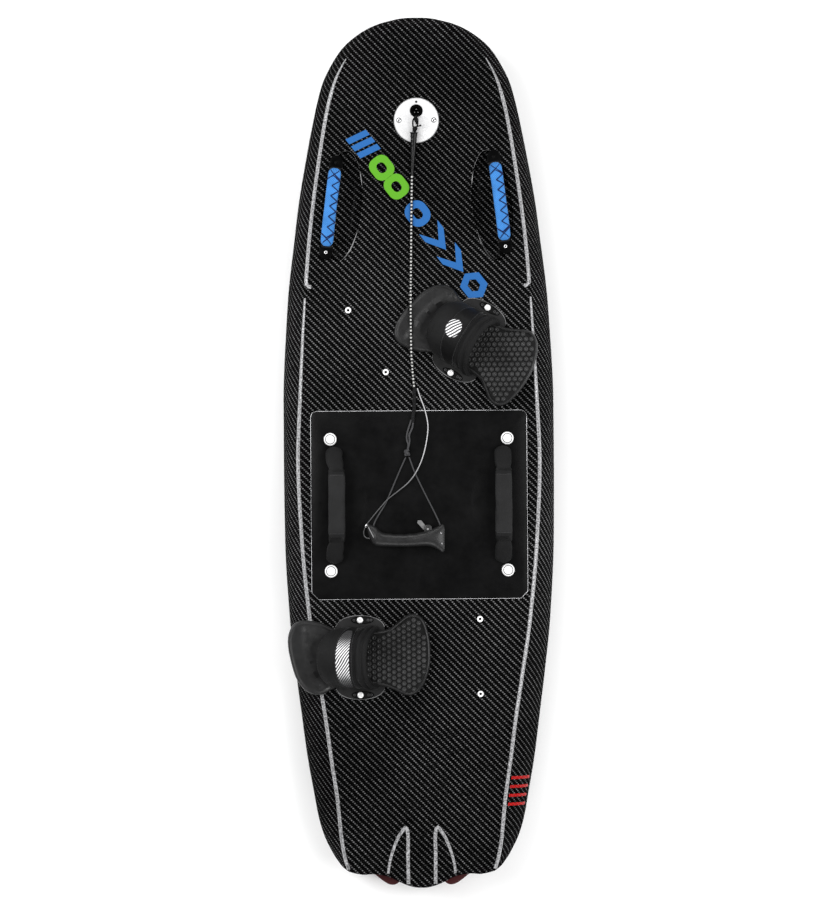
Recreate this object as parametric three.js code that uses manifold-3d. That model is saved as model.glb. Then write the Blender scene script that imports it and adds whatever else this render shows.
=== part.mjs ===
// Electric jet surfboard: carbon hull, lift-out battery with its hatch lid, jet drive, tethered throttle
// grip, carry handles and foot bindings. Millimetres, +Z up, nose towards +Y, starboard towards +X.
// The origin is on the floor under the middle of the board.
import * as THREE from 'three';
import { mergeVertices } from 'three/addons/utils/BufferGeometryUtils.js';
import { ParametricGeometry } from 'three/addons/geometries/ParametricGeometry.js';
import Module from 'manifold-3d';

const wasm = await Module();
wasm.setup();

// Driving dimensions
const DECK_Z = 150;            // height of the flat deck above the floor
const SKIN = 5;                // thickness of the carbon sandwich shells
const GAP = 0.3;               // clearance between touching pieces
const TAIL_BREAK_Y = -560;     // aft of this line the deck falls and the bottom rises
const DECK_FALL = 0.078;       // slope of the deck aft of the break
const BOTTOM_RISE = 0.0865;    // slope of the bottom aft of the break
const NOSE_Y = 925;
const TAIL_Y = -925;
const LID = { halfWidth: 230, front: 90, back: -311, bottom: 140.3, corner: 14, chamfer: 15 };
const BAY = { halfWidth: 166, front: 76, back: -296, floor: 16, wall: 5, flangeTop: 138, flangeBottom: 133 };
const LATCH = { x: 188, ys: [30, -250], stud: 5, head: 13.5 };
const JET_Z = 78;              // height of the jet's shaft line
const SHAFT_R = 8;
const PUMP_R = 40;             // bore of the pump
const PUMP_WALL = 4;
const BINDING = { screw: 79.5, baseTop: 155, padTop: 169, angle: 30 };
const FRONT_BINDING = { x: 108.5, y: 238 };
const REAR_BINDING = { x: -127.5, y: -433.5 };
const GRIP = { x: -25, y: -180, z: 166.2, halfLength: 75, r: 12.5, flare: 15.5 };
const TRIGGER_PIVOT = { x: 18, y: -161.5 };

// Lines of the hull: station, half width, half width of the flat deck, deck height, bottom height
const LINES = [
  [NOSE_Y, 38, 24, 141, 112], [915, 74, 58, 146, 107], [898, 110, 90, 149, 99], [864, 153, 128, DECK_Z, 86],
  [820, 182, 158, DECK_Z, 72], [792, 196, 171, DECK_Z, 64], [749, 209, 185, DECK_Z, 53], [707, 219, 194, DECK_Z, 43],
  [622, 236, 208, DECK_Z, 27], [537, 251, 220, DECK_Z, 14], [452, 262, 230, DECK_Z, 6], [354, 274, 238, DECK_Z, 1],
  [282, 280, 243, DECK_Z, 0], [112, 290, 252, DECK_Z, 0], [-15, 291, 257, DECK_Z, 0], [-185, 288, 250, DECK_Z, 0],
  [-355, 278, 234, DECK_Z, 0], [-483, 263, 215, DECK_Z, 0], [TAIL_BREAK_Y, 253, 203, DECK_Z, 0],
].concat([[-652, 241, 191], [-738, 226, 179], [-780, 218, 175], [-822, 205, 171], [-865, 184, 164], [-885, 172, 158],
  [-935, 160, 146]].map(([y, width, flat]) => [y, width, flat, tailDeck(y), tailBottom(y)]));

// Plan outline of the stern, half of it, from the quarter to the centreline
const STERN = [[184, -865], [172, -879], [154, -890], [126, -898], [106, -896], [82, -898], [66, -903],
  [51, -911], [30, -920], [12, -924.5], [0, TAIL_Y]];

const COLOURS = {
  carbon: [0x15171a, 0.35, 0.0], black: [0x0c0d0f, 0.6, 0.0], blue: [0x2f86e0, 0.7, 0.0], navy: [0x0e1a3a, 0.8, 0.0],
  steel: [0xd6d8da, 0.3, 1.0], white: [0xe8e8e6, 0.4, 0.0], red: [0x2d0a0c, 0.3, 0.0], rope: [0x3c3d40, 0.9, 0.0],
  grey: [0x9aa0a4, 0.5, 0.0], aluminium: [0xb8bcc0, 0.4, 1.0], rubber: [0x101113, 0.8, 0.0],
};

const board = new THREE.Group();

function tailDeck(y) {
  return DECK_Z - (TAIL_BREAK_Y - y) * DECK_FALL;
}

function tailBottom(y) {
  return (TAIL_BREAK_Y - y) * BOTTOM_RISE;
}

// ---- solids ----

function toSolid(geometry) {
  const bare = geometry.clone();
  bare.deleteAttribute('normal');
  bare.deleteAttribute('uv');
  const merged = mergeVertices(bare, 1e-4);
  const corners = Array.from(merged.index.array);
  const kept = [];
  for (let i = 0; i < corners.length; i += 3) {
    const [a, b, c] = corners.slice(i, i + 3);
    if (a !== b && b !== c && c !== a) kept.push(a, b, c);
  }
  return new wasm.Manifold(new wasm.Mesh({
    numProp: 3,
    vertProperties: new Float32Array(merged.attributes.position.array),
    triVerts: new Uint32Array(kept),
  }));
}

function toGeometry(solid) {
  const mesh = solid.getMesh();
  const geometry = new THREE.BufferGeometry();
  geometry.setAttribute('position', new THREE.BufferAttribute(mesh.vertProperties, 3));
  geometry.setIndex(new THREE.BufferAttribute(mesh.triVerts, 1));
  geometry.computeVertexNormals();
  return geometry;
}

function cut(body, ...tools) {
  return tools.reduce((left, tool) => left.subtract(toSolid(tool)), toSolid(body));
}

function join(...pieces) {
  return pieces.slice(1).reduce((whole, piece) => whole.add(toSolid(piece)), toSolid(pieces[0]));
}

function add(name, shape, colour) {
  const [hex, roughness, metalness] = COLOURS[colour];
  const material = new THREE.MeshStandardMaterial({ color: hex, roughness, metalness });
  const geometry = shape.isBufferGeometry ? shape : toGeometry(shape);
  const mesh = new THREE.Mesh(geometry, material);
  mesh.name = name;
  board.add(mesh);
}

// ---- geometry helpers ----

// Box between two corners
function block(x0, x1, y0, y1, z0, z1) {
  return new THREE.BoxGeometry(x1 - x0, y1 - y0, z1 - z0).translate((x0 + x1) / 2, (y0 + y1) / 2, (z0 + z1) / 2);
}

// Upright cylinder between two heights
function post(x, y, z0, z1, r, sides = 20) {
  return new THREE.CylinderGeometry(r, r, z1 - z0, sides).rotateX(Math.PI / 2).translate(x, y, (z0 + z1) / 2);
}

// Cylinder lying along Y
function rod(x, z, y0, y1, r, sides = 24) {
  return new THREE.CylinderGeometry(r, r, y1 - y0, sides).translate(x, (y0 + y1) / 2, z);
}

// Solid of revolution about a vertical line: points are [radius, height]
function turned(points, x, y, sides = 20) {
  const profile = points.map(([r, z]) => new THREE.Vector2(r, z));
  return new THREE.LatheGeometry(profile, sides).rotateX(Math.PI / 2).translate(x, y, 0);
}

// Solid of revolution about the shaft line: points are [radius, y]
function turnedOnShaft(points, sides = 24) {
  return new THREE.LatheGeometry(points.map(([r, y]) => new THREE.Vector2(r, y)), sides).translate(0, 0, JET_Z);
}

function outline(points) {
  return new THREE.Shape(points.map(([x, y]) => new THREE.Vector2(x, y)));
}

// Plate with a plan outline between two heights
function plate(shape, z0, z1, curveSegments = 8) {
  const options = { depth: z1 - z0, bevelEnabled: false, curveSegments };
  return new THREE.ExtrudeGeometry(shape, options).translate(0, 0, z0);
}

// Side profile in Y and Z, extruded across X
function across(shape, x0, x1, curveSegments = 12) {
  const options = { depth: x1 - x0, bevelEnabled: false, curveSegments };
  const turn = new THREE.Matrix4().makeBasis(
    new THREE.Vector3(0, 1, 0), new THREE.Vector3(0, 0, 1), new THREE.Vector3(1, 0, 0));
  return new THREE.ExtrudeGeometry(shape, options).applyMatrix4(turn).translate(x0, 0, 0);
}

// Round tube of one section along a smooth route
function tube(points, r, sides, steps) {
  const path = new THREE.CatmullRomCurve3(points.map((p) => new THREE.Vector3(...p)), false, 'centripetal');
  const section = new THREE.Shape();
  for (let i = 0; i < sides; i += 1) {
    const angle = (i / sides) * 2 * Math.PI;
    const step = i === 0 ? 'moveTo' : 'lineTo';
    section[step](r * Math.cos(angle), r * Math.sin(angle));
  }
  return new THREE.ExtrudeGeometry(section, { steps, extrudePath: path, bevelEnabled: false });
}

// ---- hull ----

function ring([y, width, flat, deck, bottom], inset) {
  const w = width - inset;
  const s = flat - inset * 0.8;
  const top = deck - inset;
  const low = bottom + inset;
  const h = top - low;
  const half = [[s, top], [s + 0.62 * (w - s), top - 0.22 * h], [w - 0.012 * w, top - 0.4 * h], [w, top - 0.52 * h],
    [w - Math.min(6, 0.05 * w), top - 0.68 * h], [w - Math.min(22, 0.16 * w), low + 0.12 * h],
    [w - Math.min(46, 0.36 * w), low]];
  const port = half.map(([x, z]) => [-x, z]).reverse();
  return [[0, top], ...half, [0, low], ...port].map(([x, z]) => new THREE.Vector3(x, y, z));
}

// Closed skin through the stations, offset inwards by an inset, with the ends closed on their centres
function hull(inset, yBack, yFront) {
  const rings = LINES.filter(([y]) => y <= yFront && y >= yBack).map((line) => ring(line, inset));
  const centre = (points) => {
    const middle = new THREE.Vector3();
    points.forEach((p) => middle.add(p));
    return middle.divideScalar(points.length);
  };
  const count = rings[0].length;
  const first = new Array(count).fill(centre(rings[0]));
  const last = new Array(count).fill(centre(rings[rings.length - 1]));
  const rows = [first, ...rings, last];
  const skin = (u, v, target) => {
    const row = rows[Math.round(v * (rows.length - 1))];
    target.copy(row[(count - Math.round(u * count)) % count]);
  };
  return new ParametricGeometry(skin, count, rows.length - 1);
}

// Everything above or below the rail line, where the two shells meet
function railSide(above) {
  const far = above ? 400 : -300;
  const shift = above ? GAP / 2 : -GAP / 2;
  const line = LINES.map(([y, , , deck, bottom]) => [y, deck - 0.52 * (deck - bottom) + shift]);
  const nose = line[0][1];
  const tail = line[line.length - 1][1];
  return across(outline([[1000, far], [1000, nose], ...line, [-1000, tail], [-1000, far]]), -400, 400);
}

function sternCutter() {
  const port = STERN.slice(0, -1).map(([x, y]) => [-x, y]);
  const edge = [...port, ...STERN.slice().reverse()];
  return plate(outline([[-400, STERN[0][1]], ...edge, [400, STERN[0][1]], [400, -1000], [-400, -1000]]), -50, 300);
}

function lidOutline(grow) {
  const { halfWidth, front, back, corner, chamfer } = LID;
  const x = halfWidth + grow;
  const top = front + grow;
  const low = back - grow;
  const shape = new THREE.Shape();
  shape.moveTo(-x + chamfer, low);
  shape.lineTo(x - chamfer, low);
  shape.lineTo(x, low + chamfer);
  shape.lineTo(x, top - corner);
  shape.absarc(x - corner, top - corner, corner, 0, Math.PI / 2, false);
  shape.lineTo(-x + corner, top);
  shape.absarc(-x + corner, top - corner, corner, Math.PI / 2, Math.PI, false);
  shape.lineTo(-x, low + chamfer);
  shape.closePath();
  return shape;
}

// Hollow for the fingers under a carry handle
function scoop(side, grow) {
  return new THREE.SphereGeometry(1, 16, 8).rotateX(Math.PI / 2).scale(42 + grow, 118 + grow, 30 + grow)
    .rotateZ(side * 0.105).translate(side * 160, 525, DECK_Z + 2);
}

function bindingHoles(centre, angle) {
  const turn = THREE.MathUtils.degToRad(angle);
  return [-1, 1].map((end) => [
    centre.x + end * BINDING.screw * Math.sin(turn), centre.y + end * BINDING.screw * Math.cos(turn)]);
}

const BINDING_SCREWS = [...bindingHoles(FRONT_BINDING, BINDING.angle), ...bindingHoles(REAR_BINDING, 0)];
const FREE_INSERTS = { front_inner: [-69, 172], front_outer: [-148, 304], rear_front: [127.5, -354],
  rear_back: [127.5, -513] };
const HANDLE = { halfLength: 100, centreX: 179, centreY: 527, splay: 0.105 };
const SOCKET_FLOOR = 135.5;   // the deck closes under the power socket
const NOSE = { y: 706, r: 47.5, top: 154, screw: 37, socket: 20, pin: 39 };

// A point on a carry handle, given along its length and across it
function onHandle(side, along, sideways = 0) {
  const angle = side * HANDLE.splay;
  return [side * HANDLE.centreX + sideways * Math.cos(angle) - along * Math.sin(angle),
    HANDLE.centreY + sideways * Math.sin(angle) + along * Math.cos(angle)];
}

function deckHoles() {
  const holes = BINDING_SCREWS.map(([x, y]) => post(x, y, 130, 160, 3.5, 12));
  Object.values(FREE_INSERTS).forEach(([x, y]) => holes.push(post(x, y, 130, 160, 6.8, 16)));
  [-1, 1].forEach((side) => [-1, 1].forEach((end) => {
    holes.push(post(...onHandle(side, end * (HANDLE.halfLength - 4)), 130, 160, 3.4, 12));
    holes.push(post(side * NOSE.screw, NOSE.y, 130, 160, 2.4, 12));
  }));
  holes.push(post(0, NOSE.y + NOSE.socket, SOCKET_FLOOR, 160, 12.6, 24), post(0, NOSE.y, 130, 160, 4.6, 16));
  return holes;
}

function addShells() {
  const skin = cut(hull(0, -940, NOSE_Y), hull(SKIN, -868, 898), sternCutter(), rod(0, JET_Z, -950, -860, 38));
  const scoops = [-1, 1].map((side) => toSolid(scoop(side, SKIN)).intersect(toSolid(hull(SKIN / 2, -868, 898))));
  const boss = toSolid(post(0, NOSE.y + NOSE.socket, SOCKET_FLOOR - 3, DECK_Z - 1, 17, 24));
  const filled = scoops.reduce((whole, piece) => whole.add(piece), skin.add(boss));
  const tools = [plate(lidOutline(1), 120, 170), scoop(-1, 0), scoop(1, 0), ...deckHoles()];
  const open = tools.reduce((left, tool) => left.subtract(toSolid(tool)), filled);
  add('deck_shell', open.intersect(toSolid(railSide(true))), 'carbon');
  const lower = skin.subtract(toSolid(ductTube(41)));
  add('bottom_shell', lower.intersect(toSolid(railSide(false))), 'carbon');
}

// ---- battery bay, battery and lid ----

function addBay() {
  const { halfWidth: w, front, back, floor, wall, flangeTop, flangeBottom } = BAY;
  const under = DECK_Z - SKIN - GAP;
  const shell = join(
    block(-w - wall, w + wall, back - wall, front + wall, SKIN + GAP, flangeTop),
    plate(lidOutline(3.4), flangeBottom, under),
    ...LATCH.ys.flatMap((y) => [-1, 1].map((side) => post(side * LATCH.x, y, 118, flangeBottom + 1, 10, 16))));
  const pocket = [block(-w, w, back, front, floor, 200), plate(lidOutline(1), flangeTop, 200)];
  const sockets = LATCH.ys.flatMap((y) => [-1, 1].map((side) => post(side * LATCH.x, y, 123, 200, 5.6, 16)));
  add('battery_bay', [...pocket, ...sockets].reduce((left, tool) => left.subtract(toSolid(tool)), shell), 'black');
  const z = flangeTop + GAP;
  add('bay_seal', cut(block(-w - 11, w + 11, back - 9, front + 9, z, z + 1.4),
    block(-w - 4, w + 4, back - 3, front + 3, z - 1, z + 5)), 'rubber');
  add('bay_connector', block(-24, 24, -40, -16, floor + GAP, 40), 'grey');
}

function addLatch(index, side, y) {
  const { stud, head } = LATCH;
  const top = DECK_Z + GAP;
  const profile = [[0, 126], [stud, 126], [stud, top], [head, top], [head, top + 3.5], [head - 2.5, top + 6.5],
    [head - 6, top + 8.2], [0, top + 8.8]];
  add(`latch_knob_${index}`, turned(profile, side * LATCH.x, y, 14), 'steel');
}

function lidGrip(side) {
  const top = DECK_Z + 40;
  const low = DECK_Z + GAP;
  const shape = outline([[12, low], [8, low + 14], [-30, top - 4], [-48, top], [-172, top], [-190, top - 4],
    [-228, low + 14], [-232, low], [-214, low], [-208, low + 8], [-180, top - 14], [-40, top - 14], [-12, low + 8],
    [-6, low]]);
  const body = across(shape, -17, 17);
  return body.translate(side > 0 ? 180 : -172, 0, 0);
}

function addBattery() {
  const lid = lidOutline(0);
  LATCH.ys.forEach((y) => [-1, 1].forEach((side) => {
    const hole = new THREE.Path();
    hole.absarc(side * LATCH.x, y, LATCH.stud + 0.4, 0, 2 * Math.PI, true);
    lid.holes.push(hole);
  }));
  add('hatch_lid', plate(lid, LID.bottom, DECK_Z), 'black');
  const { halfWidth: w, front, back, floor } = BAY;
  add('battery_case', cut(block(-w + 5, w - 5, back + 5, front - 5, floor + 2.5, LID.bottom - GAP),
    block(-29, 29, -45, -11, 0, 46)), 'black');
  add('lid_grip_left', lidGrip(-1), 'black');
  add('lid_grip_right', lidGrip(1), 'black');
  let index = 0;
  LATCH.ys.forEach((y) => [-1, 1].forEach((side) => {
    addLatch(index, side, y);
    index += 1;
  }));
}

// ---- jet drive ----

const DUCT_ROUTE = [[0, -410, -59], [0, -490, -15], [0, -570, 30], [0, -625, 62], [0, -665, JET_Z], [0, -700, JET_Z]];

function ductTube(r) {
  return tube(DUCT_ROUTE, r, 18, 10);
}

function pipe(y0, y1, bore0, bore1) {
  return turnedOnShaft([[bore0, y0], [bore0 + PUMP_WALL, y0], [bore1 + PUMP_WALL, y1], [bore1, y1], [bore0, y0]]);
}

// Blades about the shaft line, trimmed to a radius and joined to their hub
function blades(hub, count, y, length, thickness, pitch, reach) {
  const blade = (i) => new THREE.BoxGeometry(thickness, length, reach).rotateZ(pitch).translate(0, 0, reach / 2 + 9)
    .rotateY((i / count) * 2 * Math.PI).translate(0, y, JET_Z);
  return Array.from({ length: count }, (_, i) => blade(i)).reduce((whole, piece) => whole.add(toSolid(piece)), hub);
}

function addJet() {
  const inside = toSolid(hull(SKIN + GAP, -868, 898));
  const duct = cut(ductTube(46), ductTube(41), rod(0, JET_Z, -660, -440, 12.4, 16), block(-90, 90, -760, -690, 0, 200));
  add('pump_duct', duct.intersect(inside), 'aluminium');
  const bars = [-18, 0, 18].map((x) => block(x - 6, x + 6, -575, -470, -10, 30));
  const grate = toSolid(ductTube(40.4)).intersect(toSolid(block(-60, 60, -640, -420, 1, 4.5)));
  add('intake_grate', bars.reduce((left, bar) => left.subtract(toSolid(bar)), grate), 'grey');
  add('pump_housing', pipe(-750, -690.5, PUMP_R, PUMP_R), 'aluminium');
  const ringBody = toSolid(pipe(-800, -750.3, PUMP_R, PUMP_R));
  const hub = toSolid(turnedOnShaft([[0, -790], [14, -790], [14, -751.5], [0, -751.5]], 16));
  const vanes = blades(hub, 5, -772, 30, 3, 0.15, 33).subtract(toSolid(rod(0, JET_Z, -800, -740, 8.6, 20)));
  const stator = vanes.intersect(toSolid(rod(0, JET_Z, -799, -751, PUMP_R + 2))).add(ringBody);
  add('stator', stator, 'aluminium');
  add('jet_nozzle', pipe(-908, -800.3, 27, PUMP_R), 'aluminium');
  add('motor_case', turnedOnShaft([[0, -351], [40, -351], [40, -449], [9, -449], [9, -455], [46, -455], [46, -345],
    [0, -345]], 24), 'aluminium');
  add('motor_mount', cut(block(-42, 42, -430, -370, SKIN + GAP, 62), rod(0, JET_Z, -500, -300, 46.3)), 'aluminium');
  add('motor_controller', block(70, 170, -430, -340, SKIN + GAP, 48), 'black');
  add('shaft_tube', turnedOnShaft([[9.2, -625], [12, -625], [12, -455.5], [9.2, -455.5], [9.2, -625]], 20), 'steel');
  add('drive_shaft', rod(0, JET_Z, -745, -440.4, SHAFT_R, 20), 'steel');
  add('motor_rotor', rod(0, JET_Z, -440, -360, 37), 'steel');
  const impellerHub = toSolid(turnedOnShaft([[0, -742], [15, -742], [15, -702], [12, -695], [0, -694]], 16));
  const bladed = blades(impellerHub, 4, -720, 40, 3, 0.7, 33).intersect(toSolid(rod(0, JET_Z, -742, -694, PUMP_R - 1)));
  add('impeller', bladed.subtract(toSolid(rod(0, JET_Z, -760, -680, 8.3, 20))), 'steel');
}

function addFins() {
  const slope = new THREE.Matrix4().set(1, 0, 0, 0, 0, 1, 0, 0, 0, -BOTTOM_RISE, 1, tailBottom(0) - GAP, 0, 0, 0, 1);
  [-1, 1].forEach((side) => {
    const plan = plate(outline([[48, -800], [48, -911], [56, -919], [65, -922], [76, -919], [90, -909], [106, -894],
      [92, -860], [70, -815]].map(([x, y]) => [side * x, y])), -60, 20);
    const section = outline([[48, 0], [62, 0], [106, -19], [106, -23], [60, -7], [48, -7]].map(([x, z]) => [side * x, z]));
    const blade = new THREE.ExtrudeGeometry(section, { depth: 200, bevelEnabled: false }).rotateX(Math.PI / 2)
      .translate(0, -760, 0);
    const fin = toGeometry(toSolid(plan).intersect(toSolid(blade)));
    add(side < 0 ? 'fin_left' : 'fin_right', fin.applyMatrix4(slope), 'red');
  });
}

// ---- deck fittings ----

function screw(x, y, seat, r, length) {
  return turned([[0, seat - length], [r * 0.48, seat - length], [r * 0.48, seat], [r, seat], [r, seat + 1.2],
    [r * 0.6, seat + 2.6], [0, seat + 3]], x, y, 10);
}

function addInserts() {
  Object.entries(FREE_INSERTS).forEach(([name, [x, y]]) => {
    add(`insert_${name}`, turned([[3, 136], [6.5, 136], [6.5, 150.6], [3, 150.6], [3, 136]], x, y, 12), 'white');
  });
}

function addNose() {
  const { y, r, top, screw: screwX, socket, pin } = NOSE;
  const seat = DECK_Z + GAP;
  const disc = turned([[0, seat], [r, seat], [r, top - 1.5], [r - 1.5, top], [0, top]], 0, y, 32);
  const holes = [post(0, y + socket, 140, 160, 12.5, 24), post(0, y + pin, 140, 160, 2.2, 12), post(0, y, 140, 160, 4.5)];
  [-1, 1].forEach((side) => holes.push(post(side * screwX, y, 140, 160, 2.2, 12)));
  add('nose_plate', cut(disc, ...holes), 'steel');
  add('power_socket', turned([[0, 136], [12.1, 136], [12.1, top + 1], [8.5, top + 1], [8.5, 142], [0, 142]],
    0, y + socket, 24), 'black');
  const eye = new THREE.TorusGeometry(8, 2.1, 8, 14).rotateY(Math.PI / 2).translate(0, y, 164);
  add('tether_eye', join(eye, post(0, y, 138, 155.5, 4)), 'steel');
}

// Side profile of a carry handle strap lying on the deck at both ends and arched between
function strapProfile(thickness, lift, from, to) {
  const points = [];
  const steps = 12;
  for (let i = 0; i <= steps; i += 1) {
    const along = from + ((to - from) * i) / steps;
    points.push([along, arch(along) + lift + thickness]);
  }
  for (let i = steps; i >= 0; i -= 1) {
    const along = from + ((to - from) * i) / steps;
    points.push([along, arch(along) + lift]);
  }
  return outline(points);
}

// Height of the strap's underside along a carry handle
function arch(along) {
  const t = Math.min(1, Math.abs(along) / 86);
  return DECK_Z + GAP + 22 * (1 - t * t);
}

function addHandles() {
  [-1, 1].forEach((side) => {
    const name = side < 0 ? 'left' : 'right';
    const seat = (geometry) => geometry.rotateZ(side * HANDLE.splay)
      .translate(side * HANDLE.centreX, HANDLE.centreY, 0);
    const { halfLength } = HANDLE;
    const strap = seat(across(strapProfile(6, 0, -halfLength, halfLength), -10, 10));
    const holes = [-1, 1].map((end) => post(...onHandle(side, end * (halfLength - 4)), 140, 170, 3.4, 12));
    add(`handle_strap_${name}`, cut(strap, ...holes), 'black');
    const cover = seat(across(strapProfile(15, -3, -81, 81), -13.5, 13.5));
    const channel = seat(across(strapProfile(6.6, -0.3, -halfLength, halfLength), -10.3, 10.3));
    const trimmed = cut(cover, channel, block(-300, 300, 300, 800, 100, DECK_Z + GAP));
    add(`handle_cover_${name}`, trimmed, 'blue');
  });
}

// ---- foot bindings, drawn with the heel towards +X and turned into place ----

function padOutline(mirror) {
  const shape = new THREE.Shape();
  const edge = [[148, 0], [143, 45], [122, 84], [98, 92], [76, 78], [56, 62], [20, 57], [-30, 56], [-54, 61],
    [-84, 75], [-118, 80], [-141, 72], [-152, 48], [-152, 20], [-145, -14], [-134, -46], [-113, -71], [-86, -78],
    [-58, -66], [-30, -57], [20, -57], [56, -60], [76, -70], [98, -80], [122, -74], [143, -42]];
  const loop = new THREE.CatmullRomCurve3(edge.map(([x, y]) => new THREE.Vector3(x, mirror * y, 0)), true, 'centripetal');
  shape.setFromPoints(loop.getPoints(44).slice(0, -1).map((p) => new THREE.Vector2(p.x, p.y)));
  return shape;
}

function baseOutline(grow) {
  const shape = new THREE.Shape();
  shape.moveTo(52 + grow, -62);
  shape.bezierCurveTo(50 + grow, -98 - grow, -50 - grow, -98 - grow, -52 - grow, -62);
  shape.lineTo(-52 - grow, 62);
  shape.bezierCurveTo(-50 - grow, 98 + grow, 50 + grow, 98 + grow, 52 + grow, 62);
  shape.closePath();
  return shape;
}

// Half-ring over the foot, given its outer and inner half widths and heights
function footArch(outerY, outerZ, innerY, innerZ, x0, x1) {
  const shape = new THREE.Shape();
  shape.absellipse(0, BINDING.baseTop + GAP, outerY, outerZ, 0, Math.PI, false, 0);
  shape.absellipse(0, BINDING.baseTop + GAP, innerY, innerZ, Math.PI, 0, true, 0);
  shape.closePath();
  return across(shape, x0, x1, 12);
}

function addBinding(name, centre, angle, mirror) {
  const place = (geometry) => geometry.rotateZ(-THREE.MathUtils.degToRad(angle)).translate(centre.x, centre.y, 0);
  const { baseTop, padTop, screw: screwY } = BINDING;
  const seat = DECK_Z + GAP;
  const holes = [-1, 1].map((end) => post(0, end * screwY, 140, 160, 3.5, 12));
  const slots = [-1, 1].map((end) => post(24, end * (screwY - 1), 140, 160, 3, 12));
  add(`${name}_base`, place(toGeometry(cut(plate(baseOutline(0), seat, baseTop, 8), ...holes, ...slots))), 'black');
  const pad = cut(plate(padOutline(mirror), seat, padTop), plate(baseOutline(1), 140, baseTop + GAP, 8),
    footArch(66, 80, 53, 69, -49, 41), footArch(71, 86, 62, 76, -50, -15));
  add(`${name}_pad`, place(toGeometry(pad)), 'rubber');
  add(`${name}_strap`, place(footArch(64, 78, 55, 70, -48, 40)), 'black');
  add(`${name}_cover`, place(footArch(68.5, 82.5, 64.4, 78.4, -49, -16)), 'black');
  bindingHoles(centre, angle).forEach(([x, y], i) => {
    add(`${name}_screw_${i}`, screw(x, y, baseTop + GAP, 6.5, 22), 'white');
  });
}

// ---- tether and throttle ----

const ROPE_Z = DECK_Z + 3.3;
const ROPE_FRONT = [[-10, 587.4, 153.8], [-11.2, 540, ROPE_Z], [-12.4, 470, ROPE_Z], [-13.5, 400, 154.2],
  [-14, 370, 158.6], [-14.3, 350, 166], [-14.5, 332, 171.9], [-14.7, 305, 172.4], [-14.7, 265, 172.4],
  [-14.5, 232, 172.4], [-14, 208, 171.8], [-12.9, 190, 165], [-11.8, 172, 157], [-10.4, 156, 153.8],
  [-8.6, 137.2, 154.4]];
const SPLICE = [[-8.6, 136.8, 154.6], [-9.1, 94.5, 154.6], [-12, 77, 154.6], [-11.6, 65, 154.6]];
const ROPE_REAR = [[-11.6, 64.2, 154], [-14, 52, 153], [-20, 38, 152.7], [-19.6, 24, 152.7], [-23.5, 6, 155]];
const KNOT = [-25, 1, 157];
const BRIDLE_LEFT = [[-28, -9.6, 154.6], [-42, -40, 152.8], [-60, -82, 152.8], [-72, -108, 152.8],
  [-88, -134, 153.4], [-96, -150, 156.6], [-98, -162.4, 161]];
const BRIDLE_RIGHT = [[-20.6, -9.2, 154.6], [-8.3, -42.9, 152.8], [12, -86, 152.8], [31, -124, 153.2],
  [42, -148, 156.6], [46.5, -162, 161]];
const CABLE = [[-2.2, 137, 151.9], [4, 118, 151.9], [12.5, 94.5, 151.9], [18, 72, 151.9], [19.8, 54, 151.9],
  [18, 33.6, 151.9], [13, 8, 151.9], [5, -18, 153.5], [-8, -44, 157.4], [-24, -64, 155], [-46, -82, 153.6],
  [-66, -97.5, 157.4], [-82, -115, 154.5], [-98, -134, 151.9], [-112, -152, 152.4], [-118, -168, 157],
  [-114.5, -178, 163], [-103.5, -181, 166]];

function cone(from, to, r0, r1) {
  const a = new THREE.Vector3(...from);
  const b = new THREE.Vector3(...to);
  const direction = b.clone().sub(a);
  const turn = new THREE.Quaternion().setFromUnitVectors(new THREE.Vector3(0, 1, 0), direction.clone().normalize());
  return new THREE.CylinderGeometry(r1, r0, direction.length(), 16).applyQuaternion(turn)
    .translate(...a.add(b).multiplyScalar(0.5).toArray());
}

function addTether() {
  const link = new THREE.TorusGeometry(8.5, 1.9, 8, 16).scale(1, 1.32, 1).translate(-1, 695.5, 164.5);
  add('tether_hook', join(link, cone([-2, 686.5, 164.4], [-5, 682, 163.8], 3.6, 4.6)), 'black');
  add('tether_sleeve', cone([-5.2, 679, 163.2], [-10, 588, 153.6], 7, 3.1), 'rubber');
  add('tether_rope_front', tube(ROPE_FRONT, 2.8, 8, 32), 'rope');
  add('tether_splice', tube(SPLICE, 4.2, 8, 6), 'rubber');
  const knot = new THREE.SphereGeometry(1, 10, 7).scale(7.5, 8.5, 6.2).translate(...KNOT);
  add('tether_rope_rear', join(tube(ROPE_REAR, 2.3, 8, 9), knot), 'rope');
  add('bridle_left', tube(BRIDLE_LEFT, 2.3, 8, 18), 'rope');
  add('bridle_right', tube(BRIDLE_RIGHT, 2.3, 8, 18), 'rope');
  add('throttle_cable', tube(CABLE, 1.5, 8, 44), 'grey');
}

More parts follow.
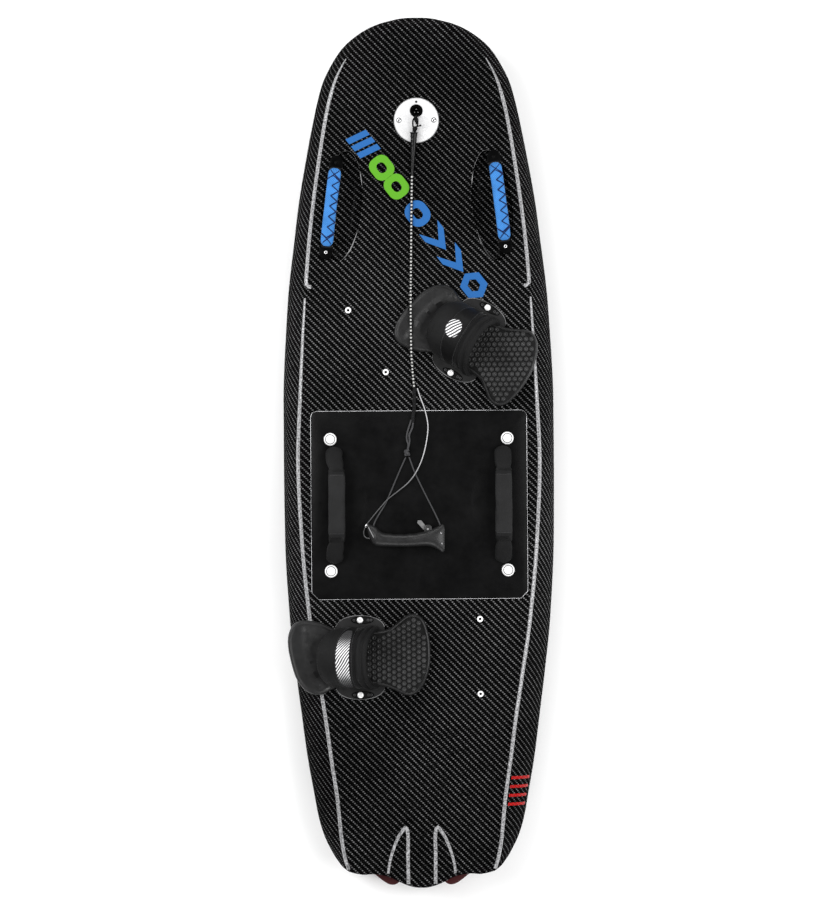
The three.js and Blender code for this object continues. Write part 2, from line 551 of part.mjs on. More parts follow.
function addGrip() {
  const { x, y, z, halfLength: half, r, flare } = GRIP;
  const profile = [[0, -half], [flare, -half], [flare, -half + 4], [r, -half + 12], [r, half - 12], [flare, half - 4],
    [flare, half], [0, half]].map(([radius, along]) => new THREE.Vector2(radius, along));
  const handle = new THREE.LatheGeometry(profile, 24).rotateZ(-Math.PI / 2).translate(x, y, z);
  const lug = (z0, z1) => block(TRIGGER_PIVOT.x - 5, TRIGGER_PIVOT.x + 5, y + 8, TRIGGER_PIVOT.y + 5, z0, z1);
  const pin = post(TRIGGER_PIVOT.x, TRIGGER_PIVOT.y, z - 5, z + 5, 1.6, 12);
  add('hand_grip', join(handle, lug(z - 6, z - 3.4), lug(z + 3.4, z + 6), pin), 'rubber');
  const lever = outline([[22.5, -165], [22.5, -158], [14, -156], [4, -143], [-3, -143], [-4.5, -148], [-1, -152],
    [8, -162], [14, -166]]);
  add('throttle_trigger', cut(plate(lever, z - 3, z + 3), post(TRIGGER_PIVOT.x, TRIGGER_PIVOT.y, z - 9, z + 9, 2, 12)),
    'grey');
}

addShells();
addBay();
addBattery();
addJet();
addFins();
addInserts();
addNose();
addHandles();
addBinding('front_binding', FRONT_BINDING, BINDING.angle, -1);
addBinding('rear_binding', REAR_BINDING, 0, 1);
addTether();
addGrip();

export default board;
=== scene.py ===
import math

import bmesh
import bpy
import numpy as np
from mathutils import Matrix, Vector, noise


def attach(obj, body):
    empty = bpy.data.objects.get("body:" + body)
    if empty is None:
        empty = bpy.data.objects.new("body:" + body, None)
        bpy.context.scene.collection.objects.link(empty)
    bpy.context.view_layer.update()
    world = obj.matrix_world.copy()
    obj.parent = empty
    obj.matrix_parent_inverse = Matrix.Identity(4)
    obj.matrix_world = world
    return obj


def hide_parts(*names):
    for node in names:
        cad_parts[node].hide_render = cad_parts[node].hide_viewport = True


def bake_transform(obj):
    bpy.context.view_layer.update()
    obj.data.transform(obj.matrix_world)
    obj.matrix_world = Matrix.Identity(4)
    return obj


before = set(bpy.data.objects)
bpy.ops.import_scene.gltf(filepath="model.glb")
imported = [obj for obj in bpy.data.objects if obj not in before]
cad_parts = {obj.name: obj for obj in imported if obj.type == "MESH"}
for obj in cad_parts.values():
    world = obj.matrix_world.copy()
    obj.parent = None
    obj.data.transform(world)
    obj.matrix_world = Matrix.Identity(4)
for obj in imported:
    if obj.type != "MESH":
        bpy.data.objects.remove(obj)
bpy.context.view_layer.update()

MM = 0.001
DECK = 150.0          # height of the flat deck, mm
TOP = DECK + 0.3      # underside of what lies on the deck, mm
SKIN = 5.0            # laminate thickness, mm
TAIL_BREAK = -560.0   # the deck falls away aft of this line, mm
DECK_FALL = 0.078     # fall of the deck per mm aft of it
BOTTOM_RISE = 0.0865  # rise of the bottom per mm aft of it
JET_Z = 78.0          # height of the jet's axis, mm
JET_BORE = 38.0       # its radius in the hull, mm
TOW = 0.00363         # width of one carbon tow, metres
SIDES = ((-1, "left"), (1, "right"))

# ---------------------------------------------------------------- camera

PHOTO_WIDTH = 840     # px
MM_PER_PX = 2.124
CAMERA_AWAY = 5.0     # metres above the deck
SENSOR = 36.0


def add_camera():
    data = bpy.data.cameras.new("camera")
    data.sensor_fit = "HORIZONTAL"
    data.sensor_width = SENSOR
    data.lens = SENSOR * CAMERA_AWAY / (PHOTO_WIDTH * MM_PER_PX * MM)
    data.dof.use_dof = False
    data.clip_end = 50
    camera = bpy.data.objects.new("camera", data)
    camera.location = (0.0025, -0.0015, DECK * MM + CAMERA_AWAY)
    camera.rotation_euler = (0, 0, math.radians(-0.43))
    bpy.context.scene.collection.objects.link(camera)
    bpy.context.scene.camera = camera


add_camera()

# ---------------------------------------------------------------- curves and meshes


def catmull(points, per=8, closed=False):
    """Points along a smooth curve through the given ones."""
    p = [Vector(q) for q in points]
    n = len(p)
    spans = n if closed else n - 1
    out = []
    for i in range(spans):
        p1, p2 = p[i], p[(i + 1) % n]
        p0 = p[i - 1] if closed or i else p1 + (p1 - p2)
        p3 = p[(i + 2) % n] if closed or i + 2 < n else p2 + (p2 - p1)
        for k in range(per):
            t = k / per
            out.append(0.5 * (2 * p1 + (p2 - p0) * t + (2 * p0 - 5 * p1 + 4 * p2 - p3) * t * t
                              + (3 * p1 - p0 - 3 * p2 + p3) * t ** 3))
    if not closed:
        out.append(p[-1])
    return out


def smooth_plan(points, per, closed=False):
    """catmull for (x, y) pairs."""
    return [(p.x, p.y) for p in catmull([(x, y, 0) for x, y in points], per, closed)]


def resample(points, step):
    """The same open line with points at an even spacing close to step."""
    p = np.array([tuple(q) for q in points])
    run = np.concatenate([[0], np.cumsum(np.linalg.norm(np.diff(p, axis=0), axis=1))])
    count = max(2, int(round(run[-1] / step)) + 1)
    at = np.linspace(0, run[-1], count)
    return [Vector([float(np.interp(s, run, p[:, k])) for k in range(p.shape[1])]) for s in at]


def length_of(points):
    """Length of a line through the points."""
    return sum((Vector(b) - Vector(a)).length for a, b in zip(points, points[1:]))


def mesh_piece(name, verts, faces, material, smooth=True, uvs=None, angle=None):
    """A mesh object from points in mm; uvs has one pair for each corner of each face."""
    mesh = bpy.data.meshes.new(name)
    mesh.from_pydata([(v[0] * MM, v[1] * MM, v[2] * MM) for v in verts], [], faces)
    if uvs is not None:
        layer = mesh.uv_layers.new(name="UVMap")
        layer.data.foreach_set("uv", np.array(uvs, np.float32).ravel())
    mesh.validate()
    piece = bpy.data.objects.new(name, mesh)
    bpy.context.scene.collection.objects.link(piece)
    shade(piece, smooth, angle)
    if material is not None:
        mesh.materials.append(material)
    return piece


def shade(piece, smooth=True, angle=None):
    mesh = piece.data
    mesh.polygons.foreach_set("use_smooth", [smooth] * len(mesh.polygons))
    if angle is not None:
        mesh.set_sharp_from_angle(angle=math.radians(angle))
    mesh.update()


def outward(piece):
    """Normals point out of the closed mesh."""
    bm = bmesh.new()
    bm.from_mesh(piece.data)
    bmesh.ops.recalc_face_normals(bm, faces=bm.faces)
    bm.to_mesh(piece.data)
    bm.free()
    return piece


def apply_modifiers(piece):
    """Bake the modifiers into the piece's mesh."""
    bpy.context.view_layer.update()
    made = bpy.data.meshes.new_from_object(piece.evaluated_get(bpy.context.evaluated_depsgraph_get()))
    piece.modifiers.clear()
    old, piece.data = piece.data, made
    made.name = piece.name
    bpy.data.meshes.remove(old)
    return piece


def boolean(piece, cutters, operation="DIFFERENCE"):
    """Cut the piece by other objects, which are used up."""
    for cutter in cutters:
        modifier = piece.modifiers.new("cut", "BOOLEAN")
        modifier.operation = operation
        modifier.solver = "EXACT"
        modifier.object = cutter
    apply_modifiers(piece)
    for cutter in cutters:
        bpy.data.objects.remove(cutter)
    return piece


def bevel(piece, width, segments=2, angle=35):
    modifier = piece.modifiers.new("bevel", "BEVEL")
    modifier.width = width * MM
    modifier.segments = segments
    modifier.limit_method = "ANGLE"
    modifier.angle_limit = math.radians(angle)
    apply_modifiers(piece)
    shade(piece, True, 40)
    return piece


def join(pieces, name=None):
    """One object from several, with their materials kept apart."""
    first = pieces[0]
    if name:
        first.name = name
    bm = bmesh.new()
    materials = []
    for piece in pieces:
        start = len(bm.faces)
        mesh = piece.data
        offsets = []
        for material in mesh.materials:
            if material not in materials:
                materials.append(material)
            offsets.append(materials.index(material))
        mesh.transform(piece.matrix_world)
        bm.from_mesh(mesh)
        bm.faces.ensure_lookup_table()
        for face in bm.faces[start:]:
            face.material_index = offsets[face.material_index] if offsets else 0
    made = bpy.data.meshes.new(first.name)
    bm.to_mesh(made)
    bm.free()
    for material in materials:
        made.materials.append(material)
    for piece in pieces[1:]:
        bpy.data.objects.remove(piece)
    first.matrix_world = Matrix.Identity(4)
    first.data = made
    return first


def grid_faces(rows, columns, wrap=False):
    """Quads over rows of points; wrap joins the last column to the first."""
    faces = []
    for r in range(rows - 1):
        for c in range(columns if wrap else columns - 1):
            d = (c + 1) % columns
            faces.append((r * columns + c, r * columns + d, (r + 1) * columns + d, (r + 1) * columns + c))
    return faces


def tube_faces(rows, columns):
    """The quads of a tube of points, with a face on each end."""
    last = (rows - 1) * columns
    return grid_faces(rows, columns, True) + [tuple(range(columns)), tuple(last + k for k in range(columns))]


def sheet_faces(rows, columns):
    """The quads of two sheets of points, one after the other, and of the strips between their edges."""
    base = rows * columns
    faces = grid_faces(rows, columns)
    faces += [tuple(base + k for k in face[::-1]) for face in faces]
    edges = [(i * columns + c, (i + 1) * columns + c) for i in range(rows - 1) for c in (0, columns - 1)]
    edges += [(i * columns + c, i * columns + c + 1) for c in range(columns - 1) for i in (0, rows - 1)]
    return faces + [(a, b, base + b, base + a) for a, b in edges]


def sweep(name, path, radius, material, sides=12, caps=True):
    """A tube round a path in mm. radius is a number or a function of (metres along, angle)."""
    p = [Vector(q) for q in path]
    n = len(p)
    along = [0.0]
    for a, b in zip(p, p[1:]):
        along.append(along[-1] + (b - a).length)
    tangents = [(p[min(i + 1, n - 1)] - p[max(i - 1, 0)]).normalized() for i in range(n)]
    side = tangents[0].orthogonal().normalized()
    verts, faces, uvs = [], [], []
    for i in range(n):
        side = (side - tangents[i] * side.dot(tangents[i])).normalized()
        other = tangents[i].cross(side)
        for k in range(sides):
            angle = 2 * math.pi * k / sides
            r = radius(along[i] * MM, angle) if callable(radius) else radius
            out = side * math.cos(angle) + other * math.sin(angle)
            verts.append(p[i] + out * r)
    for face in grid_faces(n, sides, True):
        faces.append(face)
        r, c = divmod(face[0], sides)
        for dr, dc in ((0, 0), (0, 1), (1, 1), (1, 0)):
            uvs.append(((c + dc) / sides, along[r + dr] * MM))
    if caps:
        for i, order in ((0, -1), (n - 1, 1)):
            ring = [i * sides + k for k in range(sides)][::order]
            faces.append(tuple(ring))
            uvs.extend([(0, along[i] * MM)] * sides)
    return outward(mesh_piece(name, verts, faces, material, True, uvs, 60))


def lathe(name, profile, centre, material, segments=40, axis="Z", angle=35):
    """A turned piece: profile is (radius, height) pairs in mm; a pair at radius 0 closes an end."""
    verts, faces, rings = [], [], []
    for r, h in profile:
        if r < 1e-6:
            rings.append([len(verts)])
            verts.append((0, 0, h))
        else:
            rings.append(list(range(len(verts), len(verts) + segments)))
            verts += [(r * math.cos(2 * math.pi * k / segments), r * math.sin(2 * math.pi * k / segments), h)
                      for k in range(segments)]
    loop = profile[0] == profile[-1]
    pairs = list(zip(rings, rings[1:]))
    if loop:
        pairs = pairs[:-1] + [(rings[-2], rings[0])]
    for a, b in pairs:
        for k in range(segments):
            j = (k + 1) % segments
            if len(a) == 1 and len(b) == 1:
                break
            if len(a) == 1:
                faces.append((a[0], b[j], b[k]))
            elif len(b) == 1:
                faces.append((a[k], a[j], b[0]))
            else:
                faces.append((a[k], a[j], b[j], b[k]))
    turn = {"Z": Matrix.Identity(3), "Y": Matrix.Rotation(-math.pi / 2, 3, "X"),
            "X": Matrix.Rotation(math.pi / 2, 3, "Y")}[axis]
    verts = [turn @ Vector(v) + Vector(centre) for v in verts]
    piece = mesh_piece(name, verts, faces, material, True, None, None)
    bm = bmesh.new()
    bm.from_mesh(piece.data)
    bmesh.ops.delete(bm, geom=[v for v in bm.verts if not v.link_faces], context="VERTS")
    bmesh.ops.recalc_face_normals(bm, faces=bm.faces)
    bm.to_mesh(piece.data)
    bm.free()
    shade(piece, True, angle)
    return piece


def prism(name, outline, z0, z1, material, holes=()):
    """An upright plate from an outline in mm, with optional round holes (x, y, r)."""
    n = len(outline)
    verts = [(x, y, z0) for x, y in outline] + [(x, y, z1) for x, y in outline]
    faces = [tuple(range(n))[::-1], tuple(range(n, 2 * n))]
    faces += [(i, (i + 1) % n, n + (i + 1) % n, n + i) for i in range(n)]
    piece = outward(mesh_piece(name, verts, faces, material, False))
    if holes:
        boolean(piece, [post(x, y, z0 - 5, z1 + 5, r) for x, y, r in holes])
        shade(piece, False)
    return piece


def post(x, y, z0, z1, r, segments=32):
    """An upright round cutter."""
    return lathe("cutter", [(0, z0), (r, z0), (r, z1), (0, z1)], (x, y, 0), None, segments)


def ball(name, centre, radii, material, turn=0.0, segments=40, rings=20):
    verts = [(0, 0, 1)]
    for i in range(1, rings):
        a = math.pi * i / rings
        verts += [(math.sin(a) * math.cos(2 * math.pi * k / segments),
                   math.sin(a) * math.sin(2 * math.pi * k / segments), math.cos(a)) for k in range(segments)]
    verts.append((0, 0, -1))
    faces = [(0, 1 + k, 1 + (k + 1) % segments) for k in range(segments)]
    for i in range(rings - 2):
        for k in range(segments):
            j = (k + 1) % segments
            faces.append((1 + i * segments + k, 1 + (i + 1) * segments + k,
                          1 + (i + 1) * segments + j, 1 + i * segments + j))
    last, base = len(verts) - 1, 1 + (rings - 2) * segments
    faces += [(last, base + (k + 1) % segments, base + k) for k in range(segments)]
    spin = Matrix.Rotation(turn, 3, "Z")
    verts = [spin @ Vector((v[0] * radii[0], v[1] * radii[1], v[2] * radii[2])) + Vector(centre)
             for v in verts]
    return outward(mesh_piece(name, verts, faces, material))


def puff(piece, cap, pressure=4.0, frames=12):
    """Swell a closed soft piece by cloth pressure; no point moves further than cap mm."""
    scene = bpy.context.scene
    start = scene.frame_current
    before = [v.co.copy() for v in piece.data.vertices]
    modifier = piece.modifiers.new("puff", "CLOTH")
    modifier.settings.use_pressure = True
    modifier.settings.uniform_pressure_force = pressure
    modifier.settings.effector_weights.gravity = 0.0
    modifier.point_cache.frame_start = 1
    modifier.point_cache.frame_end = frames
    for frame_number in range(1, frames + 1):
        scene.frame_set(frame_number)
    solved = piece.evaluated_get(bpy.context.evaluated_depsgraph_get())
    after = [v.co.copy() for v in solved.to_mesh().vertices]
    solved.to_mesh_clear()
    piece.modifiers.remove(modifier)
    scene.frame_set(start)
    for vertex, old, new in zip(piece.data.vertices, before, after):
        step = new - old
        vertex.co = old + step * min(1.0, cap * MM / max(step.length, 1e-9))
    piece.data.update()
    return piece


def ride(piece, body, slot, *nodes):
    """Fix a piece to a body; nodes are the CAD nodes it stands in for."""
    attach(piece, body)
    if nodes:
        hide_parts(*nodes)
    return piece


def turned(name, profile, at, finish, segments, slot, *nodes, body="hull"):
    """A lathe piece that rides a body."""
    return ride(lathe(name, profile, at, M[finish], segments), body, slot, *nodes)


# ---------------------------------------------------------------- materials


class Shader:
    """A principled material with short calls for its nodes."""

    def __init__(self, name, **values):
        self.material = bpy.data.materials.new(name)
        self.material.use_nodes = True
        self.tree = self.material.node_tree
        self.bsdf = next(n for n in self.tree.nodes if n.type == "BSDF_PRINCIPLED")
        self.set(**values)

    def set(self, **values):
        names = {"color": "Base Color", "rough": "Roughness", "metal": "Metallic", "coat": "Coat Weight",
                 "coat_rough": "Coat Roughness", "sheen": "Sheen Weight", "sheen_rough": "Sheen Roughness",
                 "spec": "Specular IOR Level", "aniso": "Anisotropic", "normal": "Normal",
                 "coat_normal": "Coat Normal"}
        for key, value in values.items():
            self.link(self.bsdf.inputs[names[key]], value)
        return self

    def link(self, socket, value):
        if isinstance(value, bpy.types.NodeSocket):
            self.tree.links.new(value, socket)
        elif isinstance(value, (tuple, list)) and len(value) == 3 and socket.type == "RGBA":
            socket.default_value = (*value, 1)
        else:
            socket.default_value = value

    def node(self, kind, inputs=None, **settings):
        made = self.tree.nodes.new(kind)
        for key, value in settings.items():
            setattr(made, key, value)
        for key, value in (inputs or {}).items():
            self.link(made.inputs[key], value)
        return made

    def m(self, operation, a, b=0.0, c=0.0):
        return self.node("ShaderNodeMath", {0: a, 1: b, 2: c}, operation=operation).outputs[0]

    def mul(self, first, *others):
        for other in others:
            first = self.m("MULTIPLY", first, other)
        return first

    def add(self, a, b):
        return self.m("ADD", a, b)

    def sub(self, a, b):
        return self.m("SUBTRACT", a, b)

    def off_middle(self, a):
        """Distance of a's fraction from one half."""
        return self.m("ABSOLUTE", self.sub(self.m("FRACT", a), 0.5))

    def where(self, source="Object"):
        if source == "UV":
            return self.node("ShaderNodeUVMap", uv_map="UVMap").outputs[0]
        return self.node("ShaderNodeTexCoord").outputs[source]

    def axes(self, vector):
        split = self.node("ShaderNodeSeparateXYZ", {0: vector})
        return split.outputs[0], split.outputs[1], split.outputs[2]

    def scaled(self, vector, scale):
        return self.node("ShaderNodeVectorMath", {0: vector, 1: scale}, operation="MULTIPLY").outputs[0]

    def noise(self, scale, detail=3.0, rough=0.55, vector=None):
        vector = vector or self.where()
        return self.node("ShaderNodeTexNoise", {"Vector": vector, "Scale": scale, "Detail": detail,
                                                "Roughness": rough}).outputs[0]

    def spread(self, value, low, high, to_low, to_high, smooth=False):
        kind = "SMOOTHSTEP" if smooth else "LINEAR"
        return self.node("ShaderNodeMapRange", {0: value, 1: low, 2: high, 3: to_low, 4: to_high},
                         interpolation_type=kind, clamp=True).outputs[0]

    def mix(self, factor, a, b):
        return self.node("ShaderNodeMix", {0: factor, 6: a, 7: b}, data_type="RGBA").outputs[2]

    def bump(self, height, distance, strength):
        inputs = {"Height": height, "Distance": distance, "Strength": strength}
        return self.node("ShaderNodeBump", inputs).outputs[0]

    def twill(self, x, y, cell):
        """2x2 twill from two coordinates in metres: crown of each float, height, 1 on warp floats."""
        repeat = 4.0      # tows, of which each float covers two
        u, v = self.m("DIVIDE", x, cell), self.m("DIVIDE", y, cell)
        i, j = self.m("FLOOR", u), self.m("FLOOR", v)
        phase = self.m("FLOORED_MODULO", self.add(i, j), repeat)
        warp = self.m("LESS_THAN", phase, 1.5)
        a = self.m("DIVIDE", self.m("FLOORED_MODULO", self.add(v, i), repeat), 2.0)
        b = self.m("DIVIDE", self.sub(self.m("FLOORED_MODULO", self.add(u, j), repeat), 2.0), 2.0)
        crown_a, crown_b = (self.mul(c, self.sub(1.0, c), 4.0) for c in (a, b))
        across_a = self.m("ABSOLUTE", self.sub(self.sub(u, i), 0.5))
        across_b = self.m("ABSOLUTE", self.sub(self.sub(v, j), 0.5))

        def pick(on, off):
            return self.add(self.mul(on, warp), self.mul(off, self.sub(1.0, warp)))
        crown = self.m("MAXIMUM", pick(crown_a, crown_b), 0.0)
        across = pick(across_a, across_b)
        round_off = self.sub(1.0, self.mul(across, across, 2.6))
        return crown, self.mul(self.add(self.mul(crown, 0.6), 0.4), round_off), warp


def carbon(name, weft, warp_tone, coat=1.0, uv=True):
    """Twill carbon laminate under clear coat, its sheen painted into the colour: dark warp, weft floats
    painted bright at their crowns as painted reflection, painted glints, and a painted pool of light at the
    middle of the length.
    """
    s = Shader(name, rough=0.34, coat_rough=0.14, coat=coat, spec=0.0)
    x, y, _ = s.axes(s.where("UV" if uv else "Object"))
    crown, height, warp = s.twill(x, y, TOW)
    patch = s.spread(s.noise(5.0, 2.0, 0.5), 0.3, 0.7, 0.65, 1.3)
    # painted glints: small bright specks in the colour
    painted_glint = s.spread(s.noise(420.0, 1.0, 0.5), 0.42, 0.7, 0.3, 2.2)
    floats = s.m("POWER", s.mul(crown, height), 2.6)
    # painted pool of light: brighter at the middle of the length, darker towards nose and tail
    middle = s.spread(s.m("ABSOLUTE", y), 0.15, 0.62, 1.12, 0.7, True)
    # the floats' sheen is painted into the colour: weft floats bright at their crowns, warp floats dark
    bright = s.mul(floats, s.sub(1.0, s.mul(warp, 0.96)), painted_glint, patch, middle)
    s.set(color=s.mix(bright, warp_tone, weft), normal=s.bump(height, 0.00022, 0.5),
          coat_normal=s.bump(s.noise(60.0, 2.0, 0.5), 0.0002, 0.15))
    s.bsdf.inputs["Base Color"].links[0].from_node.clamp_factor = True
    return s.material


UNEVEN = 0.08         # how far a painted surface's roughness wanders


def painted(name, color, rough, grain_scale, grain_depth, tone=0.12, metal=0.0, coat=0.0, sheen=0.0, spec=0.5,
            worn=None, speckle=0.0):
    """Moulded or painted surface: a fine grain, slow changes of tone and roughness, paler edges where worn is
    given: wear on most finishes, a painted edge highlight on the trigger.
    """
    s = Shader(name, metal=metal, coat=coat, sheen=sheen, spec=spec)
    slow = s.noise(14.0, 3.0, 0.6)
    low = tuple(c * (1 - tone) for c in color)
    high = tuple(min(1.0, c * (1 + tone) + 0.002) for c in color)
    shade_of = s.mix(s.spread(slow, 0.3, 0.7, 0, 1), low, high)
    if speckle:
        flake = s.spread(s.noise(300.0, 2.0, 0.7), 0.4, 0.58, 0, 1)
        shade_of = s.mix(flake, tuple(c * (1 - speckle) for c in color), shade_of)
    # paler edges: wear on most finishes, a painted highlight on the trigger
    if worn:
        edge = s.node("ShaderNodeNewGeometry").outputs["Pointiness"]
        shade_of = s.mix(s.mul(s.spread(edge, 0.53, 0.6, 0, 0.7), s.spread(slow, 0.4, 0.6, 0.3, 1)),
                         shade_of, worn)
    grain = s.noise(grain_scale, 4.0, 0.65)
    s.set(color=shade_of, normal=s.bump(grain, grain_depth, 0.6),
          rough=s.spread(s.noise(60.0, 4.0, 0.6), 0.3, 0.7, rough - UNEVEN, rough + UNEVEN))
    return s.material


def brushed(name, color, rough):
    """Machined or brushed metal with grain along X, and a few handling marks."""
    s = Shader(name, metal=1.0, aniso=0.4)
    lines = s.noise(1.0, 3.0, 0.6, s.scaled(s.where(), (40.0, 4000.0, 4000.0)))
    smudge = s.noise(45.0, 4.0, 0.6)
    low = tuple(c * 0.82 for c in color)
    s.set(color=s.mix(s.spread(smudge, 0.35, 0.7, 0, 1), color, low), normal=s.bump(lines, 0.00002, 0.5),
          rough=s.add(s.spread(lines, 0.3, 0.7, rough - 0.06, rough + 0.08),
                    s.spread(smudge, 0.5, 0.8, 0, 0.12)))
    return s.material


def cloth(name, color, thread=0.0012, second=None, rough=0.85, sheen=0.25, depth=0.00035, uv=False):
    """Plain woven or knitted textile: crossed threads, fuzz, faded areas."""
    s = Shader(name, rough=rough, sheen=sheen, sheen_rough=0.4, spec=0.12)
    x, y, z = s.axes(s.where("UV" if uv else "Object"))
    if not uv:
        y = s.add(y, s.mul(z, 0.7))
        x = s.add(x, s.mul(z, 0.45))
    wave = math.pi / thread
    weave = s.mul(s.m("SINE", s.mul(x, wave)), s.m("SINE", s.mul(y, wave)))
    threads = s.spread(weave, -1.0, 1.0, 0.0, 1.0)
    hair = s.noise(1500.0, 3.0, 0.7)
    faded = s.noise(22.0, 3.0, 0.6)
    base = s.mix(s.spread(faded, 0.3, 0.7, 0, 1), color, tuple(c * 1.45 + 0.001 for c in color))
    tone = s.mix(s.mul(threads, 0.5), base, second or tuple(c * 0.45 for c in color))
    height = s.add(threads, s.mul(hair, 0.3))
    s.set(color=tone, normal=s.bump(height, depth, 0.7))
    return s.material


def rope_material():
    """Black braid with two pale tracer strands, laid out by the tube's own coordinates."""
    s = Shader("rope_braid", rough=0.7, sheen=0.05, spec=0.15)
    u, v, _ = s.axes(s.where("UV"))
    turn = s.mul(u, 8.0)
    pitch = s.m("DIVIDE", v, 0.00375)
    strands = s.m("MAXIMUM", s.off_middle(s.add(turn, pitch)), s.off_middle(s.sub(turn, pitch)))
    spot_along = s.m("LESS_THAN", s.m("FRACT", s.m("DIVIDE", v, 0.0075)), 0.5)
    spot_round = s.m("LESS_THAN", s.m("FRACT", s.mul(u, 2.0)), 0.56)
    worn = s.spread(s.noise(500.0, 3.0, 0.7), 0.35, 0.65, 0.55, 1.0)
    color = s.mix(s.mul(spot_along, spot_round, worn), (0.006, 0.006, 0.0065), (0.62, 0.62, 0.6))
    s.set(color=color, normal=s.bump(strands, 0.0005, 0.9))
    return s.material


def painted_highlight_label(name, lean, pitch):
    """Glossy woven label whose highlight is painted into the colour: bright slanting bars fading towards the
    ends; lean is how far they slope, pitch their spacing in metres.
    """
    s = Shader(name, rough=0.36, coat=0.15, coat_rough=0.1, spec=0.3)
    x, y, _ = s.axes(s.where("UV"))
    slant = s.add(s.mul(x, lean), y)
    bars = s.spread(s.off_middle(s.m("DIVIDE", slant, pitch)), 0.2, 0.34, 0.0, 1.0, True)
    # painted highlight: the bars fade from the middle of the label to its ends
    fade = s.spread(s.m("ABSOLUTE", y), 0.02, 0.052, 1.0, 0.06, True)
    worn = s.spread(s.noise(260.0, 3.0, 0.6), 0.3, 0.7, 0.75, 1.0)
    s.set(color=s.mix(s.mul(bars, fade, worn), (0.012, 0.012, 0.013), (0.95, 0.95, 0.96)),
          normal=s.bump(bars, 0.00025, 0.6))
    return s.material


def cable_material():
    """Thin throttle cable: a black sheath painted pale over its forward part as a painted highlight, with
    scuffs.
    """
    s = Shader("cable_sheath", rough=0.35, spec=0.3)
    _, y, _ = s.axes(s.where())
    # painted highlight: pale at the forward end, dark further aft
    pale = s.spread(y, -0.1, 0.02, 0.12, 1.0, True)
    scuffs = s.spread(s.noise(500.0, 3.0, 0.6), 0.35, 0.65, 0.75, 1.0)
    s.set(color=s.mix(s.mul(pale, scuffs), (0.02, 0.02, 0.021), (0.52, 0.52, 0.53)),
          normal=s.bump(s.noise(900.0, 2.0, 0.5), 0.00005, 0.5))
    return s.material


def ink(name, color, ghost=0.86):
    """Screen-printed ink over the laminate: the weave ghosts through it, more where ghost is low, with the
    crown of each float painted lighter as a painted highlight.
    """
    s = Shader(name, rough=0.4, coat=0.12, coat_rough=0.12, spec=0.15)
    x, y, _ = s.axes(s.where())
    crown, height, _ = s.twill(x, y, TOW)
    spots = s.noise(420.0, 3.0, 0.65)
    shows = 0.3 if ghost > 0.5 else 1.0
    # painted highlight: the ink is lighter on the crown of each float beneath it
    tone = s.mix(s.mul(crown, shows), tuple(c * ghost for c in color), tuple(min(1, c * 1.12) for c in color))
    s.set(color=s.mix(s.spread(spots, 0.62, 0.75, 0, 0.3), tone, tuple(c * 0.6 for c in color)),
          normal=s.bump(height, 0.00012, 0.35))
    return s.material


